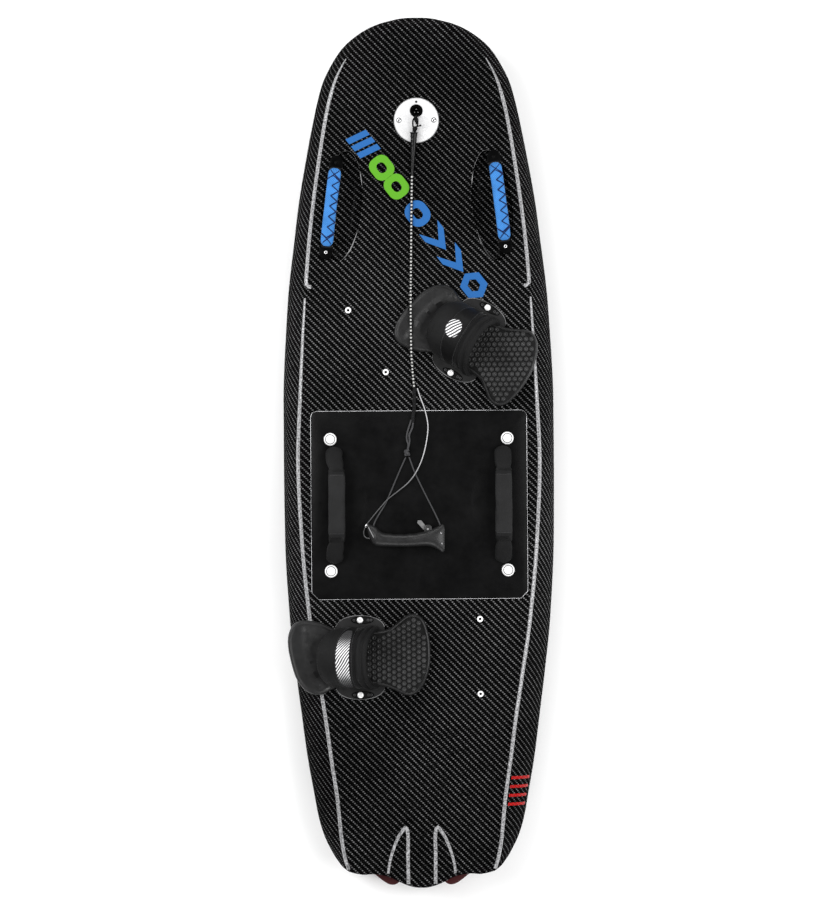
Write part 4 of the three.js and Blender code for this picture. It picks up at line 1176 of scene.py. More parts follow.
def add_lid():
    lid = prism("hatch_cover", lid_outline(0), 140.3, DECK, M["lid"])
    bevel(lid, 0.9, 2)
    holes = [(side * KNOB_X, y) for side in (-1, 1) for y in KNOB_Y]
    boolean(lid, [post(x, y, 130, 160, 5.4) for x, y in holes]
            + [ball("cutter", (side * 150, -105, DECK + 4), (54, 84, 6.4), None) for side in (-1, 1)])
    shade(lid, True, 30)
    ride(lid, "battery", "black_plastic", "hatch_lid")
    add_hatch_rim()
    index = 0
    for y in KNOB_Y:
        for x in (-KNOB_X, KNOB_X):
            profile = [(0, 126), (4.4, 126), (5, 126.8), (5, TOP), (13.0, TOP), (13.5, TOP + 0.5),
                       (13.5, TOP + 3.2), (13.0, TOP + 4.4), (11.9, TOP + 5.4), (10.7, TOP + 5.8),
                       (10.3, TOP + 4.6), (9.3, TOP + 4.6), (8.9, TOP + 6.2), (7.6, TOP + 6.9),
                       (6.0, TOP + 6.6), (5.4, TOP + 5.8), (0, TOP + 5.7)]
            knob = lathe(f"turn_knob_{index}", profile, (x, y, 0), M["knob"], 48)
            slot = [(x + a * 4.4, y + b * 1.1) for a, b in ((-1, -1), (1, -1), (1, 1), (-1, 1))]
            boolean(knob, [prism("cutter", slot, TOP + 3.6, TOP + 12, None)])
            shade(knob, True, 35)
            ride(knob, f"latch_{index}", "steel", f"latch_knob_{index}")
            # painted shade: a dark ring fills the groove in the knob's top
            turned(f"knob_groove_shade_{index}",
                   [(9.3, TOP + 4.4), (10.3, TOP + 4.4), (10.3, TOP + 5.6), (9.3, TOP + 5.6),
                                            (9.3, TOP + 4.4)], (x, y, 0), "seal", 48, "rubber",
                   body=f"latch_{index}")
            index += 1


add_lid()


def rounded_section(half_w, half_t, power, n):
    """Points of a rounded rectangle, as a superellipse, in (across, up)."""
    out = []
    for k in range(n):
        a = 2 * math.pi * k / n
        c, s = math.cos(a), math.sin(a)
        out.append((half_w * math.copysign(abs(c) ** (2 / power), c),
                    half_t * math.copysign(abs(s) ** (2 / power), s)))
    return out


def padded_bar(name, route, section, material, centre_x, wrinkle=0.0, seed=0.0, n=36, sway=0.0):
    """A soft bar along a route of (y, z) in mm at centre_x; section(t) gives half width and half thickness.
    sway moves its middle sideways."""
    path = resample(catmull([(0, y, z) for y, z in route], 10), 2.2)
    verts = []
    total = len(path)
    for i, q in enumerate(path):
        t = i / (total - 1)
        tangent = (path[min(i + 1, total - 1)] - path[max(i - 1, 0)]).normalized()
        up = Vector((1, 0, 0)).cross(tangent)
        if up.z < 0:
            up = -up
        half_w, half_t = section(t)
        aside = sway * min(1.0, max(0.0, (min(t, 1 - t) - 0.1) / 0.12))
        for a, b in rounded_section(half_w, half_t, 3.0, n):
            v = q + Vector((a + centre_x + aside, 0, 0)) + up * b
            if wrinkle:
                push = noise.noise(Vector((v.x * 0.06 + seed, v.y * 0.05, v.z * 0.06))) * wrinkle
                v += (up * b + Vector((a, 0, 0))).normalized() * push
            verts.append(v)
    return outward(mesh_piece(name, verts, tube_faces(total, n), material, True, None, 70))


def add_lid_grips():
    for side, word, cx, shift in ((-1, "left", -179.5, 5.5), (1, "right", 178, 0.5)):
        arch = [(13, 154.5), (5, 158.5), (-12, 169), (-33, 179.5), (-52, 182.6), (-110, 183.0), (-168, 182.6),
                (-187, 179.5), (-208, 169), (-225, 158.5), (-233, 154.5)]

        def strap_section(t):
            edge = min(t, 1 - t)
            end = max(0.0, 1 - edge / 0.055)
            return 18.2 * math.sqrt(max(0.03, 1 - end * end)) - 2.2 * math.exp(-((edge - 0.2) / 0.03) ** 2), \
                2.4 + 4.4 * min(1.0, edge / 0.05) ** 0.5
        under = padded_bar(f"grip_ends_{word}", arch, strap_section, M["foam"], cx, 0.5, side * 3.0, 36,
                           shift)
        middle = [(-42, 183.4), (-70, 183.9), (-110, 184.2), (-150, 183.9), (-174, 183.4)]

        def sleeve_section(t):
            edge = min(t, 1 - t) * 132
            swell = 1 - math.exp(-edge / 3.5)
            return 15.6 + 2.2 * swell, 4.8 + 2.6 * swell
        sleeve = padded_bar(f"grip_sleeve_{word}", middle, sleeve_section, M["grip"], cx + shift, 0.9,
                            side * 9.0, 44)
        # painted shade: darker bands at both ends of the sleeve, where it creases
        lower = [(-176, 182.6), (-181, 181.8), (-186, 180.2)]
        upper = [(-35.5, 181), (-37.5, 181.8), (-39.5, 182.4)]
        band = padded_bar(f"grip_crease_shade_rear_{word}", lower, lambda t: (16.8 + 0.6 * math.sin(math.pi * t), 7.4),
                          M["cover"], cx + shift, 0.3, side * 5.0)
        front_crease_shade = padded_bar(f"grip_crease_shade_front_{word}", upper, lambda t: (17.4, 7.6), M["cover"], cx + shift, 0.2,
                          side * 7.0)
        ride(front_crease_shade, "battery", "strap_cover")
        puff(under, 1.2)
        puff(sleeve, 1.8)
        for piece in (under, sleeve, band):
            ride(piece, "battery", "strap_foam")
        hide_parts(f"lid_grip_{word}")
        for y in (-46.5, -169.5):
            stitches = []
            for k in range(9):
                x = cx + shift + (k - 4) * 3.2
                z = 192.2 - 0.012 * ((k - 4) * 3.2) ** 2
                path = [(x - 1.0, y, z - 0.4), (x, y, z + 0.1), (x + 1.0, y, z - 0.4)]
                stitches.append(sweep(f"stitch_{k}", path, 0.35, M["thread"], 6))
            seam = join(stitches, f"grip_stitching_{word}_{'front' if y > -100 else 'rear'}")
            ride(seam, "battery", "strap_cover")


add_lid_grips()

# ---------------------------------------------------------------- carry handles


def on_handle(side, along, sideways=0.0):
    """Plan position of a point of a carry handle."""
    angle = side * 0.122
    return Vector((side * 179 - 3.5 + sideways * math.cos(angle) - along * math.sin(angle),
                   527 + side * 5 + sideways * math.sin(angle) + along * math.cos(angle), 0))


def arch_z(along):
    """Height of the handle strap along its arch."""
    t = min(1.0, abs(along) / 86)
    return TOP + 22 * (1 - t * t)


def handle_sweep(name, side, alongs, section, material, n=32, wrinkle=0.0):
    """A bar along the handle: section(along) gives half width, half thickness and height of its middle."""
    verts = []
    for a in alongs:
        half_w, half_t, z = section(a)
        step = 1.0
        rise = section(a + step)[2] - section(a - step)[2]
        tilt = Vector((0, 2 * step, rise)).normalized()
        for u, v in rounded_section(half_w, half_t, 3.2, n):
            flat = on_handle(side, a - v * tilt.z, u)
            bump = noise.noise(Vector((flat.x * 0.08, flat.y * 0.08, side * 4.0))) * wrinkle
            verts.append(Vector((flat.x, flat.y, z + v * tilt.y + (bump if v > 0 else 0))))
    return outward(mesh_piece(name, verts, tube_faces(len(alongs), n), material, True, None, 70))


def add_handles():
    for side, word in SIDES:
        strap = handle_sweep(f"handle_webbing_{word}", side, list(np.linspace(-101, 101, 102)),
                             lambda a: (11.5 - 3.2 * max(0.0, (abs(a) - 92) / 9) ** 2, 2.4, arch_z(a) + 2.6),
                             M["webbing"])
        ride(strap, "hull", "webbing", f"handle_strap_{word}")

        def sleeve(a):
            end = max(0.0, 1 - (81 - abs(a)) / 10)
            return 13.4 * math.sqrt(max(0.12, 1 - 0.72 * end * end)), 6.2 - 1.6 * end * end, arch_z(a) + 4.4
        cover = handle_sweep(f"handle_sleeve_{word}", side, list(np.linspace(-81, 81, 110)), sleeve,
                             M["blue"], 40, 0.9)
        puff(cover, 0.6)
        ride(cover, "hull", "blue_cover", f"handle_cover_{word}")

        def lace(a0, u0, a1, u1):
            path = []
            for s in np.linspace(0, 1, 12):
                a, u = a0 + (a1 - a0) * s, u0 + (u1 - u0) * s
                w, t, z = sleeve(a)
                u = max(-0.97, min(0.97, u)) * w
                q = on_handle(side, a, u)
                path.append((q.x, q.y, z + t * (1 - abs(u / w) ** 3.2) ** (1 / 3.2) + 0.5))
            return sweep("lace", path, 1.25, M["lacing"], 10)
        runs = []
        for k in range(-3, 3):
            middle = 22 * k + 11
            runs += [(middle - 11, -0.15, middle, 0.97), (middle, 0.97, middle + 11, -0.15)]
        for end in (-1, 1):
            runs += [(end * 66, -0.15, end * 58, -0.97), (end * 58, -0.97, end * 78, 0.8),
                     (end * 58, 0.97, end * 78, -0.8), (end * 66, -0.15, end * 58, 0.97)]
        lacing = join([lace(*run) for run in runs], f"handle_lacing_{word}")
        ride(lacing, "hull", "webbing")
        for end in (-1, 1):
            seat = TOP + 5.2
            q = on_handle(side, end * 96)
            tag = f"{word}_{'front' if end > 0 else 'rear'}"
            corners = [(-13, end * 85), (13, end * 85), (13.5, end * 98), (9.5, end * 108), (0, end * 111),
                       (-9.5, end * 108), (-13.5, end * 98)]
            plan = [on_handle(side, along, across) for across, along in corners]
            lug = prism(f"handle_lug_{tag}", [(v.x, v.y) for v in catmull(plan, 5, True)], TOP, seat,
                        M["lug"])
            boolean(lug, [post(q.x, q.y, TOP - 4, seat + 4, 3.3)])
            bevel(lug, 1.2, 3)
            ride(lug, "hull", "black_plastic")
            turned(f"handle_screw_{tag}", [(0, 140), (2.9, 140), (2.9, seat + 0.3), (3.3, seat + 0.35),
                                           (3.5, seat + 0.9), (3.1, seat + 1.6), (2.1, seat + 1.8),
                                           (1.9, seat + 0.7), (0, seat + 0.7)],
                   (q.x, q.y, 0), "screw" if end < 0 else "gloss_black", 28, "steel")
            turned(f"handle_screw_drive_{tag}", [(0, seat + 0.6), (1.95, seat + 0.6), (1.9, seat + 0.9),
                                                 (0, seat + 0.85)], (q.x, q.y, 0), "pit", 6, "black_plastic")


add_handles()

# ---------------------------------------------------------------- nose plate screws and socket insert


def add_nose():
    for side, word in SIDES:
        at = (side * 37, PLATE_Y, 0)
        turned(f"nose_screw_{word}",
               [(0, 142), (1.9, 142), (1.9, 154), (4.3, 154.05), (4.5, 154.7), (3.6, 155.7),
                                      (1.9, 156.1), (1.7, 154.9), (0, 154.8)], at, "steel", 28, "steel")
        turned(f"nose_screw_drive_{word}", [(0, 154.6), (2.2, 154.6), (2.2, 156.0), (0, 155.7)], at, "pit", 6,
               "black_plastic")
        # painted shadow: a thin dark ring round each screw head
        turned(f"nose_screw_shadow_ring_{word}",
               [(4.4, 153.6), (5.5, 153.6), (5.5, 154.12), (4.4, 154.15), (4.4, 153.6)], at, "pit", 28,
               "black_plastic")
    turned("nose_pin", [(0, 146), (2.0, 146), (2.0, 154.1), (2.5, 154.15), (2.4, 154.5), (0, 154.5)],
           (0, 745, 0), "pit", 20, "black_plastic")
    turned("nose_gasket",
           [(46, TOP - 0.2), (48.6, TOP - 0.2), (48.6, TOP + 0.9), (46, TOP + 0.9), (46, TOP - 0.2)],
           (0, PLATE_Y, 0), "seal", 64, "rubber")
    key = []
    for k in range(3):
        a = math.radians(90 + 120 * k)
        key.append(lathe(f"contact_{k}", [(0, 141.8), (1.3, 141.8), (1.3, 147.2), (0.9, 147.8), (0, 147.8)],
                         (4.2 * math.cos(a), SOCKET_Y + 4.2 * math.sin(a), 0), M["steel"], 16))
    contacts = join(key, "socket_contacts")
    ride(contacts, "hull", "steel")
    turned("socket_collar",
           [(12.0, 154), (13.4, 154.05), (13.7, 154.8), (13.2, 155.5), (12.2, 155.6), (11.6, 155),
                             (12.0, 154)], (0, SOCKET_Y, 0), "lug", 48, "rubber")
    eye = [(0, PLATE_Y + 8.2 * math.cos(a), 164.6 + 8.2 * math.sin(a))
           for a in np.linspace(0, 2 * math.pi, 49)]
    staple = join([sweep("eye", eye, 1.8, M["gloss_black"], 14, False),
                   lathe("stem", [(0, 139), (3.2, 139), (3.2, 154), (4.6, 154.1), (4.6, 156.2), (3.0, 157.4),
                                  (0, 157.6)],
                         (0, PLATE_Y, 0), M["gloss_black"], 28)], "tether_staple")
    ride(staple, "hull", "steel", "tether_eye")
    bend = [(1.6, 690, 164.2), (2.4, 696, 165.2), (3.0, 702, 166.6), (2.2, 706.8, 168.2),
            (-0.8, 709.6, 168.8), (-4.2, 708.6, 168), (-6.6, 704.6, 166.6), (-7.6, 699, 165.4),
            (-7.4, 693, 164.4), (-6.0, 688.5, 163.9)]
    hook = sweep("hook", resample(catmull(bend, 8), 0.7), 1.75, M["gloss_black"], 14)
    gate_line = [(-6.4, 689, 164), (-2.4, 690, 164.6), (3, 691.5, 165.2), (8.4, 692.8, 166.2)]
    gate = sweep("gate", resample(catmull(gate_line, 6), 0.8), 1.5, M["gloss_black"], 12)
    bead = ball("bead", (8.8, 692.9, 166.3), (2.3, 2.1, 2.3), M["gloss_black"], 0, 20, 12)
    barrel = [(-2.2, 691, 164.2), (-2.6, 689, 164.1), (-2.7, 688.6, 164.1), (-3.6, 684.6, 163.7),
              (-3.7, 684.2, 163.7), (-5.1, 679.4, 163.2)]
    swivel = sweep("swivel", barrel, lambda along, angle: 5.4 if 0.0021 < along < 0.0068 else 4.3,
                   M["gloss_black"], 24)
    snap = join([hook, gate, bead, swivel], "snap_hook")
    ride(snap, "hull", "black_plastic", "tether_hook")


add_nose()

# ---------------------------------------------------------------- hand grip


# x, y and half width of the hand grip
GRIP_STATIONS = [(-111.5, -151, 2.2), (-108, -158, 8.0), (-104, -164.5, 13.0), (-99, -170.5, 17.0),
                 (-93, -176, 18.6), (-87, -180, 17.0), (-80, -182.5, 15.3), (-68, -184, 14.0),
                 (-50, -185, 13.6), (-30, -185.3, 13.6), (-8, -184, 14.2), (8, -182, 15.4),
                 (20, -180.5, 17.6), (31, -180, 21.0), (40, -180.5, 25.6), (47, -181, 29.6), (51, -181, 29.4),
                 (53.2, -181, 26.0)]


def add_hand_grip():
    """Rubber throttle grip along X: waisted middle, slanted flare at the left, a fishtail at the right."""
    cz = 167.0
    path = catmull(GRIP_STATIONS, 8)
    x0, x1 = path[0].x, path[-1].x
    n, verts = 48, []
    for i, q in enumerate(path):
        before, after = path[max(0, i - 1)], path[min(len(path) - 1, i + 1)]
        slant = math.atan2(after.y - before.y, after.x - before.x) * 0.5
        t = (q.x - x0) / (x1 - x0)
        half_z = 12.8 - 1.6 * math.exp(-((t - 0.45) / 0.3) ** 2) - 5.0 * max(0.0, 0.12 - t) / 0.12 \
            - 3.4 * max(0.0, (t - 0.9) / 0.1) ** 2
        half_z = min(half_z, max(2.0, q.z * 1.2))
        for k in range(n):
            a = 2 * math.pi * k / n
            c, sn = math.cos(a), math.sin(a)
            waist = 1 - 0.22 * max(0.0, (q.z - 19) / 11) * (1 - abs(c) ** 3)
            y = q.z * math.copysign(abs(c) ** 0.92, c)
            ripple = 0.35 * math.cos(2 * math.pi * q.x / 21) * max(0.0, c) if 0.15 < t < 0.85 else 0.0
            fine = 0.16 * math.cos(2 * math.pi * q.x / 2.9) if 0.15 < t < 0.8 and c < 0.3 else 0.0
            verts.append((q.x - y * math.sin(slant) * 0.4, q.y + y + ripple,
                          cz + (half_z * waist + fine) * sn))
    grip = outward(mesh_piece("grip_handle", verts, tube_faces(len(path), n), M["hand_rubber"], True, None,
                              60))
    lugs = [prism("lug", [(10, -167), (10, -156), (14, -152.5), (22, -152.5), (26, -156), (26, -167)], z,
                  z + 2.6, M["hand_rubber"]) for z in (159.6, 170.2)]
    for lug in lugs:
        bevel(lug, 0.5, 2)
    pin = lathe("lug_pin", [(0, 159.0), (1.9, 159.0), (1.9, 173.4), (0, 173.6)], (18, -161.5, 0), M["steel"],
                20)
    whole = join([grip] + lugs + [pin])
    ride(whole, "battery", "rubber", "hand_grip")
    slanted = [(-99.5 + 11.6 * math.cos(a), -172.5 - 22.6 * math.cos(a), cz + 10.6 * math.sin(a))
               for a in np.linspace(0, 2 * math.pi, 61)]
    ride(sweep("grip_end_ring", slanted, 0.9, M["grey"], 10, False), "battery", "grey_plastic")
    screws = [lathe("screw", [(0, cz + 6), (2.0, cz + 6), (2.0, z), (1.3, z + 0.7), (0, z + 0.5)], (x, y, 0),
                    M["steel"], 20) for x, y, z in ((46, -170, cz + 11.4), (47.5, -192, cz + 11.2))]
    fixings = join(screws, "grip_screws")
    ride(fixings, "battery", "steel")


add_hand_grip()

# ---------------------------------------------------------------- foot bindings

PAD_OUTLINE = [(149, 8), (148, 32), (144, 55), (137, 76), (127, 88), (112, 92.5), (97, 88), (82, 76),
               (66, 64), (48, 58), (20, 57), (-30, 56), (-54, 61), (-84, 75), (-118, 80), (-141, 72),
               (-152, 48), (-152, 20), (-145, -14), (-134, -46), (-113, -71), (-86, -78), (-58, -66),
               (-30, -57), (20, -57), (48, -60), (66, -66), (83, -74), (99, -80), (114, -78), (128, -67),
               (138.5, -49), (145, -28), (148.5, -9)]
BINDINGS = {"front": ((108.5, 238.0), -30.0, -1), "rear": ((-127.5, -433.5), 0.0, 1)}
BASE_TOP = 155.3


def edge_distance(points, outline):
    """Distance of each point to a closed line, in mm."""
    a = np.array(outline)
    b = np.roll(a, -1, axis=0)
    best = np.full(len(points), 1e9)
    for p, q in zip(a, b):
        d = q - p
        t = np.clip(((points - p) @ d) / (d @ d), 0, 1)
        best = np.minimum(best, np.linalg.norm(points - (p + t[:, None] * d), axis=1))
    return best


def ridge(distance, width):
    """A smooth bump, 1 at distance 0."""
    return np.exp(-(distance / width) ** 2)


def heel_floor(x):
    """1 in the heel's hexagon field, 0 under the strap."""
    return np.clip((x - 8) / 12, 0, 1)


def pad_height(p, inside):
    """Top of the footbed in mm above its underside; p is local x (heel +) and y."""
    x, y = p[:, 0], p[:, 1]
    rim = 1.9 * ridge(inside - 3.4, 2.6) * np.clip((np.abs(x) - 20) / 30, 0, 1)
    heel = heel_floor(x) * (-1.8 * np.clip((inside - 5) / 2.5, 0, 1)
                            + 3.4 * (np.maximum(x - 30, 0) / 100) ** 2)
    toe_curve = np.interp(y, [-62, -35, -7, 20, 61], [-84, -96, -105, -110, -113])
    second = toe_curve + 17
    toe = 4.2 * ridge(x - toe_curve, 6.0) + 1.6 * ridge(x - second, 6.0) - 1.4 * ridge(x - toe_curve - 10,
                                                                                       5.0)
    toe = toe * np.clip((70 - np.abs(y)) / 14, 0, 1)
    lobe = 1.6 * np.clip((-x - 100) / 50, 0, 1) ** 2
    return 15.6 + rim + heel + toe + lobe


def binding_place(which):
    """A function from a binding's own coordinates to the board's."""
    (cx, cy), angle, mirror = BINDINGS[which]
    turn = Matrix.Rotation(math.radians(angle), 3, "Z")

    def place(v):
        q = turn @ Vector((v[0], v[1] * mirror, v[2]))
        return Vector((q.x + cx, q.y + cy, q.z))
    return place


def add_footbed(which):
    place = binding_place(which)
    outline = smooth_plan(PAD_OUTLINE, 8, True)
    line = np.array(outline)
    shares = [0, 0.12, 0.24, 0.36, 0.47, 0.57, 0.66, 0.73, 0.79, 0.83, 0.865, 0.895, 0.92, 0.94, 0.957, 0.972,
              0.985, 0.994, 1.0]
    flat = np.concatenate([line * s for s in shares[1:]])
    inside = edge_distance(flat, outline)
    height = pad_height(flat, inside)
    drop = np.where(inside < 4.5, 4.5 - np.sqrt(np.maximum(0, 4.5 ** 2 - (4.5 - inside) ** 2)), 0)
    z = TOP + height - drop
    n = len(outline)
    verts = [(0, 0, TOP + 15.6)] + [(p[0], p[1], h) for p, h in zip(flat, z)]
    verts += [(p[0] * 0.998, p[1] * 0.998, TOP + 9) for p in line]
    verts += [(p[0] * 0.985, p[1] * 0.985, TOP + 3) for p in line]
    verts += [(p[0] * 0.955, p[1] * 0.955, TOP) for p in line]
    faces = [(0, 1 + k, 1 + (k + 1) % n) for k in range(n)]
    rows = len(shares) - 1 + 3
    for r in range(rows - 1):
        for k in range(n):
            j = (k + 1) % n
            faces.append((1 + r * n + k, 1 + (r + 1) * n + k, 1 + (r + 1) * n + j, 1 + r * n + j))
    faces.append(tuple(1 + (rows - 1) * n + k for k in range(n)))
    verts = [place(v) for v in verts]
    bed = outward(mesh_piece(f"{which}_footbed", verts, faces, M["rubber"], True, None, 60))
    bed.data.materials.append(M["tread_gap_painted_shade"])
    # painted shade: the floor between the heel studs takes the darker rubber
    for index, polygon in enumerate(bed.data.polygons):
        ring = [v - 1 for v in polygon.vertices if v > 0]
        if ring and max(ring) < len(flat) and min(inside[ring]) > 5 and min(flat[ring][:, 0]) > 12:
            polygon.material_index = 1
    studs = add_studs(which, place, outline)
    whole = join([bed, studs])
    outward(whole)
    shade(whole, True, 45)
    ride(whole, "hull", "pad_foam", f"{which}_binding_pad")


def add_studs(which, place, outline):
    """Hexagonal tread studs with a dimple each, over the heel, painted lighter than the footbed round them as
    painted highlight.
    """
    pitch = 12.2
    centres = []
    for i in range(-8, 16):
        for j in range(-9, 10):
            x = i * pitch * math.sqrt(3) / 2 + 40
            y = (j + 0.5 * (i % 2)) * pitch
            centres.append((x, y))
    centres = np.array([c for c in centres if c[0] > 18])
    polygon = np.array(outline)
    keep = []
    away = edge_distance(centres, outline)
    for c, d in zip(centres, away):
        inside = False
        for k in range(len(polygon)):
            x0, y0 = polygon[k]
            x1, y1 = polygon[(k + 1) % len(polygon)]
            if (y0 > c[1]) != (y1 > c[1]) and c[0] < (x1 - x0) * (c[1] - y0) / (y1 - y0) + x0:
                inside = not inside
        if inside and d > 8.9:
            keep.append(c)
    keep = np.array(keep)
    heights = pad_height(keep, edge_distance(keep, outline))
    verts, faces = [], []
    n = 12
    for (x, y), h in zip(keep, heights):
        start = len(verts)
        base = TOP + h
        for r, dz in ((5.0, -0.8), (5.0, 1.2), (4.6, 1.75), (2.6, 1.9), (2.1, 1.3), (0.9, 1.1)):
            for k in range(n):
                a = 2 * math.pi * k / n
                hexed = r / math.cos(a % (math.pi / 3) - math.pi / 6) if r > 3 else r
                verts.append(place((x + hexed * math.cos(a) * (0.985 if r > 3 else 1),
                                    y + hexed * math.sin(a) * (0.985 if r > 3 else 1), base + dz)))
        for r in range(5):
            for k in range(n):
                j = (k + 1) % n
                faces.append((start + r * n + k, start + r * n + j, start + (r + 1) * n + j,
                              start + (r + 1) * n + k))
        faces.append(tuple(start + 5 * n + k for k in range(n)))
        faces.append(tuple(start + k for k in range(n))[::-1])
    return mesh_piece(f"{which}_studs", verts, faces, M["tread"], True, None, 30)


# Strap: angle runs over the foot from 0 to pi, share from 0 at the toe edge to 1 at the heel edge.
def strap_edges(angle):
    """Local x of the strap's toe and heel edges across the arch."""
    low = 1 - math.sin(angle)
    return -90 + 44 * low, 14 + 27 * low


def strap_surface(angle, share, lift):
    toe, heel = strap_edges(angle)
    x = toe + (heel - toe) * share
    rise = 78 - 26 * (1 - share) ** 2.0 * 1.15 - 3.0 * share
    wide = 62.5 + 1.2 * math.sin(math.pi * share) + 1.6 * share
    c, s = math.cos(angle), math.sin(angle)
    power = 2.35
    y = math.copysign(abs(c) ** (2 / power), c)
    z = abs(s) ** (2 / power)
    normal = Vector((-0.25 * (1 - share), c, s * 0.9)).normalized()
    return Vector((x, y * (wide - 4), BASE_TOP - 1.5 + z * (rise - 4))) + normal * lift


def strap_lift(x_share):
    """Outer face: flap, cover bed, groove, two padded rolls."""
    def hump(at, width, high):
        return high * math.exp(-((x_share - at) / width) ** 2)
    return (3.4 + hump(0.14, 0.09, 1.6) + hump(0.36, 0.1, 0.8) - hump(0.745, 0.025, 2.6)
            + hump(0.82, 0.05, 4.4)
            + hump(0.94, 0.042, 3.4) - hump(0.885, 0.02, 1.2) - 2.0 * max(0.0, (x_share - 0.975) / 0.025) ** 2
            - 1.6 * max(0.0, (0.03 - x_share) / 0.03) ** 2)


def add_strap(which):
    place = binding_place(which)
    angles = [math.pi * k / 72 for k in range(73)]
    shares = [k / 64 for k in range(65)]
    outer, inner = [], []
    seed = 3.0 if which == "front" else 11.0
    for a in angles:
        for s in shares:
            fold = 0.9 * noise.noise(Vector((s * 5 + seed, a * 1.6, 0.3)))
            fold += 0.35 * noise.noise(Vector((s * 14, a * 5 + seed, 2)))
            outer.append(place(strap_surface(a, s, strap_lift(s) + fold * math.sin(a))))
    for a in angles:
        for s in shares:
            soft = 0.4 * noise.noise(Vector((s * 6, a * 3, seed)))
            inner.append(place(strap_surface(a, s, -3.2 + soft)))
    faces = sheet_faces(len(angles), len(shares))
    strap = outward(mesh_piece(f"{which}_strap_pad", outer + inner, faces, M["foam"], True, None, 75))
    puff(strap, 1.0)
    ride(strap, "hull", "strap_foam", f"{which}_binding_strap")
    for word, share in (("toe", 0.012), ("heel", 0.988)):
        path = [place(strap_surface(a, share, 0.6)) for a in angles[2:-2]]
        piping = sweep(f"{which}_piping_{word}", path, 1.9, M["cover"], 12)
        ride(piping, "hull", "strap_cover")


def cover_edges(angle):
    """Local x of the cover's toe and heel edges across the arch."""
    low = 1 - math.sin(angle)
    return -54 + 39 * low, -15 + 17 * low


def cover_point(angle, share, lift):
    """A point over the strap, share 0 to 1 across the cover."""
    toe, heel = strap_edges(angle)
    left, right = cover_edges(angle)
    x = left + (right - left) * share
    s = (x - toe) / (heel - toe)
    return strap_surface(angle, s, strap_lift(s) + lift)


def band_mesh(name, place, angles, shares, inner, outer, material, squeeze=None):
    """A thin closed sheet over the strap between two lifts, with coordinates in metres for its weave."""
    verts, spots = [], []
    for lift in (outer, inner):
        for a in angles:
            for s in shares:
                share = squeeze(a, s) if squeeze else s
                edge = min(s, 1 - s)
                round_off = 0.8 * max(0.0, 1 - edge / 0.06) ** 2 if lift == outer else 0.0
                verts.append(place(cover_point(a, share, lift - round_off)))
                spots.append(((share - 0.5) * 0.039, (a - math.pi / 2) * 0.07))
    faces = sheet_faces(len(angles), len(shares))
    uvs = [spots[index] for face in faces for index in face]
    return outward(mesh_piece(name, verts, faces, material, True, uvs, 60))


def add_cover(which):
    place = binding_place(which)
    angles = [math.radians(a) for a in np.linspace(4, 176, 60)]
    shares = [k / 16 for k in range(17)]
    cover = band_mesh(f"{which}_strap_cover", place, angles, shares, -0.6, 1.6, M["cover"])
    ride(cover, "hull", "strap_cover", f"{which}_binding_cover")
    if which == "rear":
        angles = [math.radians(a) for a in np.linspace(27, 153, 70)]

        def squeeze(a, s):
            t = abs(a - math.pi / 2) / math.radians(63)
            half = 0.36 * (1 - t ** 8 * 0.5)
            return 0.47 + (s - 0.5) * 2 * half
    else:
        angles = [math.radians(a) for a in np.linspace(77.5, 106.5, 30)]

        def squeeze(a, s):
            t = abs(a - math.radians(92)) / math.radians(14.5)
            half = 0.4 * math.sqrt(max(0.02, 1 - t * t))
            return 0.36 + (s - 0.5) * 2 * half
    # The patch is a painted highlight on the glossy cover, shaped like it: a short oval on the front strap, a
    # long band on the rear.
    patch = band_mesh(f"{which}_patch", place, angles, shares, 1.0, 2.3, M[f"patch_{which}"], squeeze)
    ride(patch, "hull", "strap_cover")
    for word, share in (("toe", 0.06), ("heel", 0.94)):
        stitches = []
        for k in range(46):
            a0 = math.radians(12 + 3.4 * k)
            hop = ((0, -0.2), (0.011, 0.25), (0.03, 0.25), (0.041, -0.2))      # angle, height of each point
            path = [place(cover_point(a0 + d, share, 1.55 + up)) for d, up in hop]
            stitches.append(sweep(f"stitch_{k}", path, 0.32, M["thread"], 5))
        seam = join(stitches, f"{which}_cover_seam_{word}")
        ride(seam, "hull", "strap_cover")


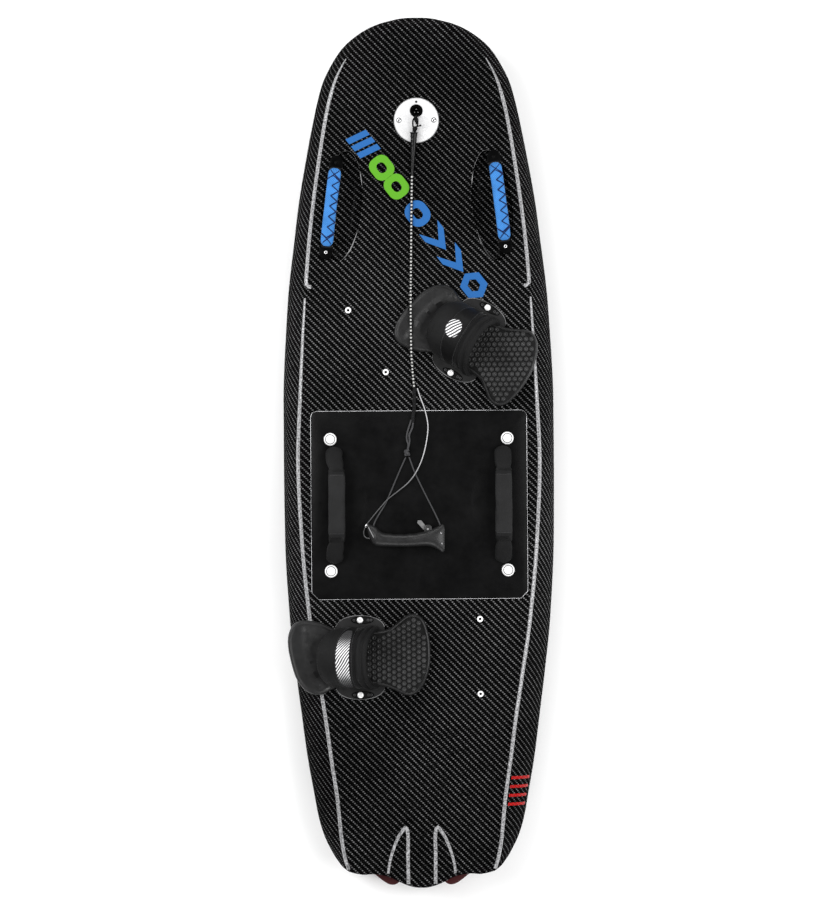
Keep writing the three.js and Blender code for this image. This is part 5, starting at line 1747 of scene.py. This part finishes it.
def add_ear_slots(which):
    """Dark adjusting slot with its washer round each binding screw."""
    place = binding_place(which)
    for end, word in ((-1, "outer"), (1, "inner")):
        y = end * 79.5
        ring = []
        for a in np.linspace(0, 2 * math.pi, 49)[:-1]:
            x = 5 + 23 * math.cos(a)
            ring.append(place((x, y + 7.4 * math.sin(a), 155.6)))
        lip = sweep(f"{which}_slot_lip_{word}", ring + [ring[0], ring[1]], 0.8, M["lug"], 8, False)
        ride(lip, "hull", "black_plastic")
        well = prism(f"{which}_slot_well_{word}", [(q.x, q.y) for q in ring], 154.9, 155.35, M["pit"])
        ride(well, "hull", "black_plastic")
        # painted highlight: a thin pale line along the plate's curved outer edge
        arc = []
        for t in np.linspace(0.03, 0.97, 40):
            b0, b1, b2, b3 = (1 - t) ** 3, 3 * t * (1 - t) ** 2, 3 * t * t * (1 - t), t ** 3
            arc.append(place((52 * b0 + 50 * b1 - 50 * b2 - 52 * b3, end * (62 * (b0 + b3) + 98 * (b1 + b2)),
                              155.0)))
        rim = sweep(f"{which}_plate_edge_{word}", arc,
                    lambda along, angle: 0.55 + 0.3 * math.sin(along * 90 + end), M["ear_edge_highlight"], 10)
        ride(rim, "hull", "black_plastic")
        q = place((0, y, 0))
        turned(f"{which}_screw_{word}",
               [(0, 138), (2.6, 138), (3.1, 139), (3.1, 155.4), (6.5, 155.4), (6.7, 156.2),
                                         (6.3, 157.4), (5.0, 158.5), (3.2, 158.9), (2.9, 157.0), (0, 156.8)],
               (q.x, q.y, 0), "screw", 36, "steel", f"{which}_binding_screw_{(end + 1) // 2}")
        holes = []
        for x in (-13, 17, 23.5):
            q = place((x, y, 0))
            holes.append(lathe(f"hole_{x}",
                               [(0, 155.1), (2.6, 155.1), (2.6, 155.9), (1.5, 156.0), (1.3, 155.3),
                                (0, 155.3)], (q.x, q.y, 0), M["black"], 20))
        dots = join(holes, f"{which}_slot_dots_{word}")
        ride(dots, "hull", "black_plastic")


for binding in BINDINGS:
    add_footbed(binding)
    add_strap(binding)
    add_cover(binding)
    add_ear_slots(binding)

# ---------------------------------------------------------------- floor, light


def add_studio():
    s = Shader("studio_floor", rough=0.9, spec=0.1)
    tone = s.spread(s.noise(2.0, 2.0, 0.5), 0.3, 0.7, 0, 1)
    s.set(color=s.mix(tone, (0.96, 0.96, 0.96), (0.98, 0.98, 0.98)))
    verts = [(-6000, -6000, -0.4), (6000, -6000, -0.4), (6000, 6000, -0.4), (-6000, 6000, -0.4)]
    floor = mesh_piece("floor", verts, [(0, 1, 2, 3)], s.material, False)

    def area(name, at, size, power, towards=(0, 0, 0.1)):
        data = bpy.data.lights.new(name, "AREA")
        data.shape = "RECTANGLE"
        data.size, data.size_y = size
        data.energy = power
        lamp = bpy.data.objects.new(name, data)
        lamp.location = at
        lamp.rotation_euler = (Vector(towards) - Vector(at)).to_track_quat("-Z", "Y").to_euler()
        bpy.context.scene.collection.objects.link(lamp)

    area("key", (-2.3, 1.0, 2.8), (2.0, 2.8), 118)
    area("fill", (2.5, -0.3, 2.7), (2.4, 3.0), 106)
    area("back", (0.2, 3.2, 2.2), (2.4, 1.2), 45)
    area("front", (0.0, -3.2, 2.2), (2.4, 1.2), 35)
    world = bpy.data.worlds.new("studio")
    world.use_nodes = True
    world.node_tree.nodes["Background"].inputs[0].default_value = (1, 1, 1, 1)
    world.node_tree.nodes["Background"].inputs[1].default_value = 0.3
    bpy.context.scene.world = world
    bpy.context.scene.view_settings.view_transform = "Standard"


add_studio()

bpy.context.view_layer.update()
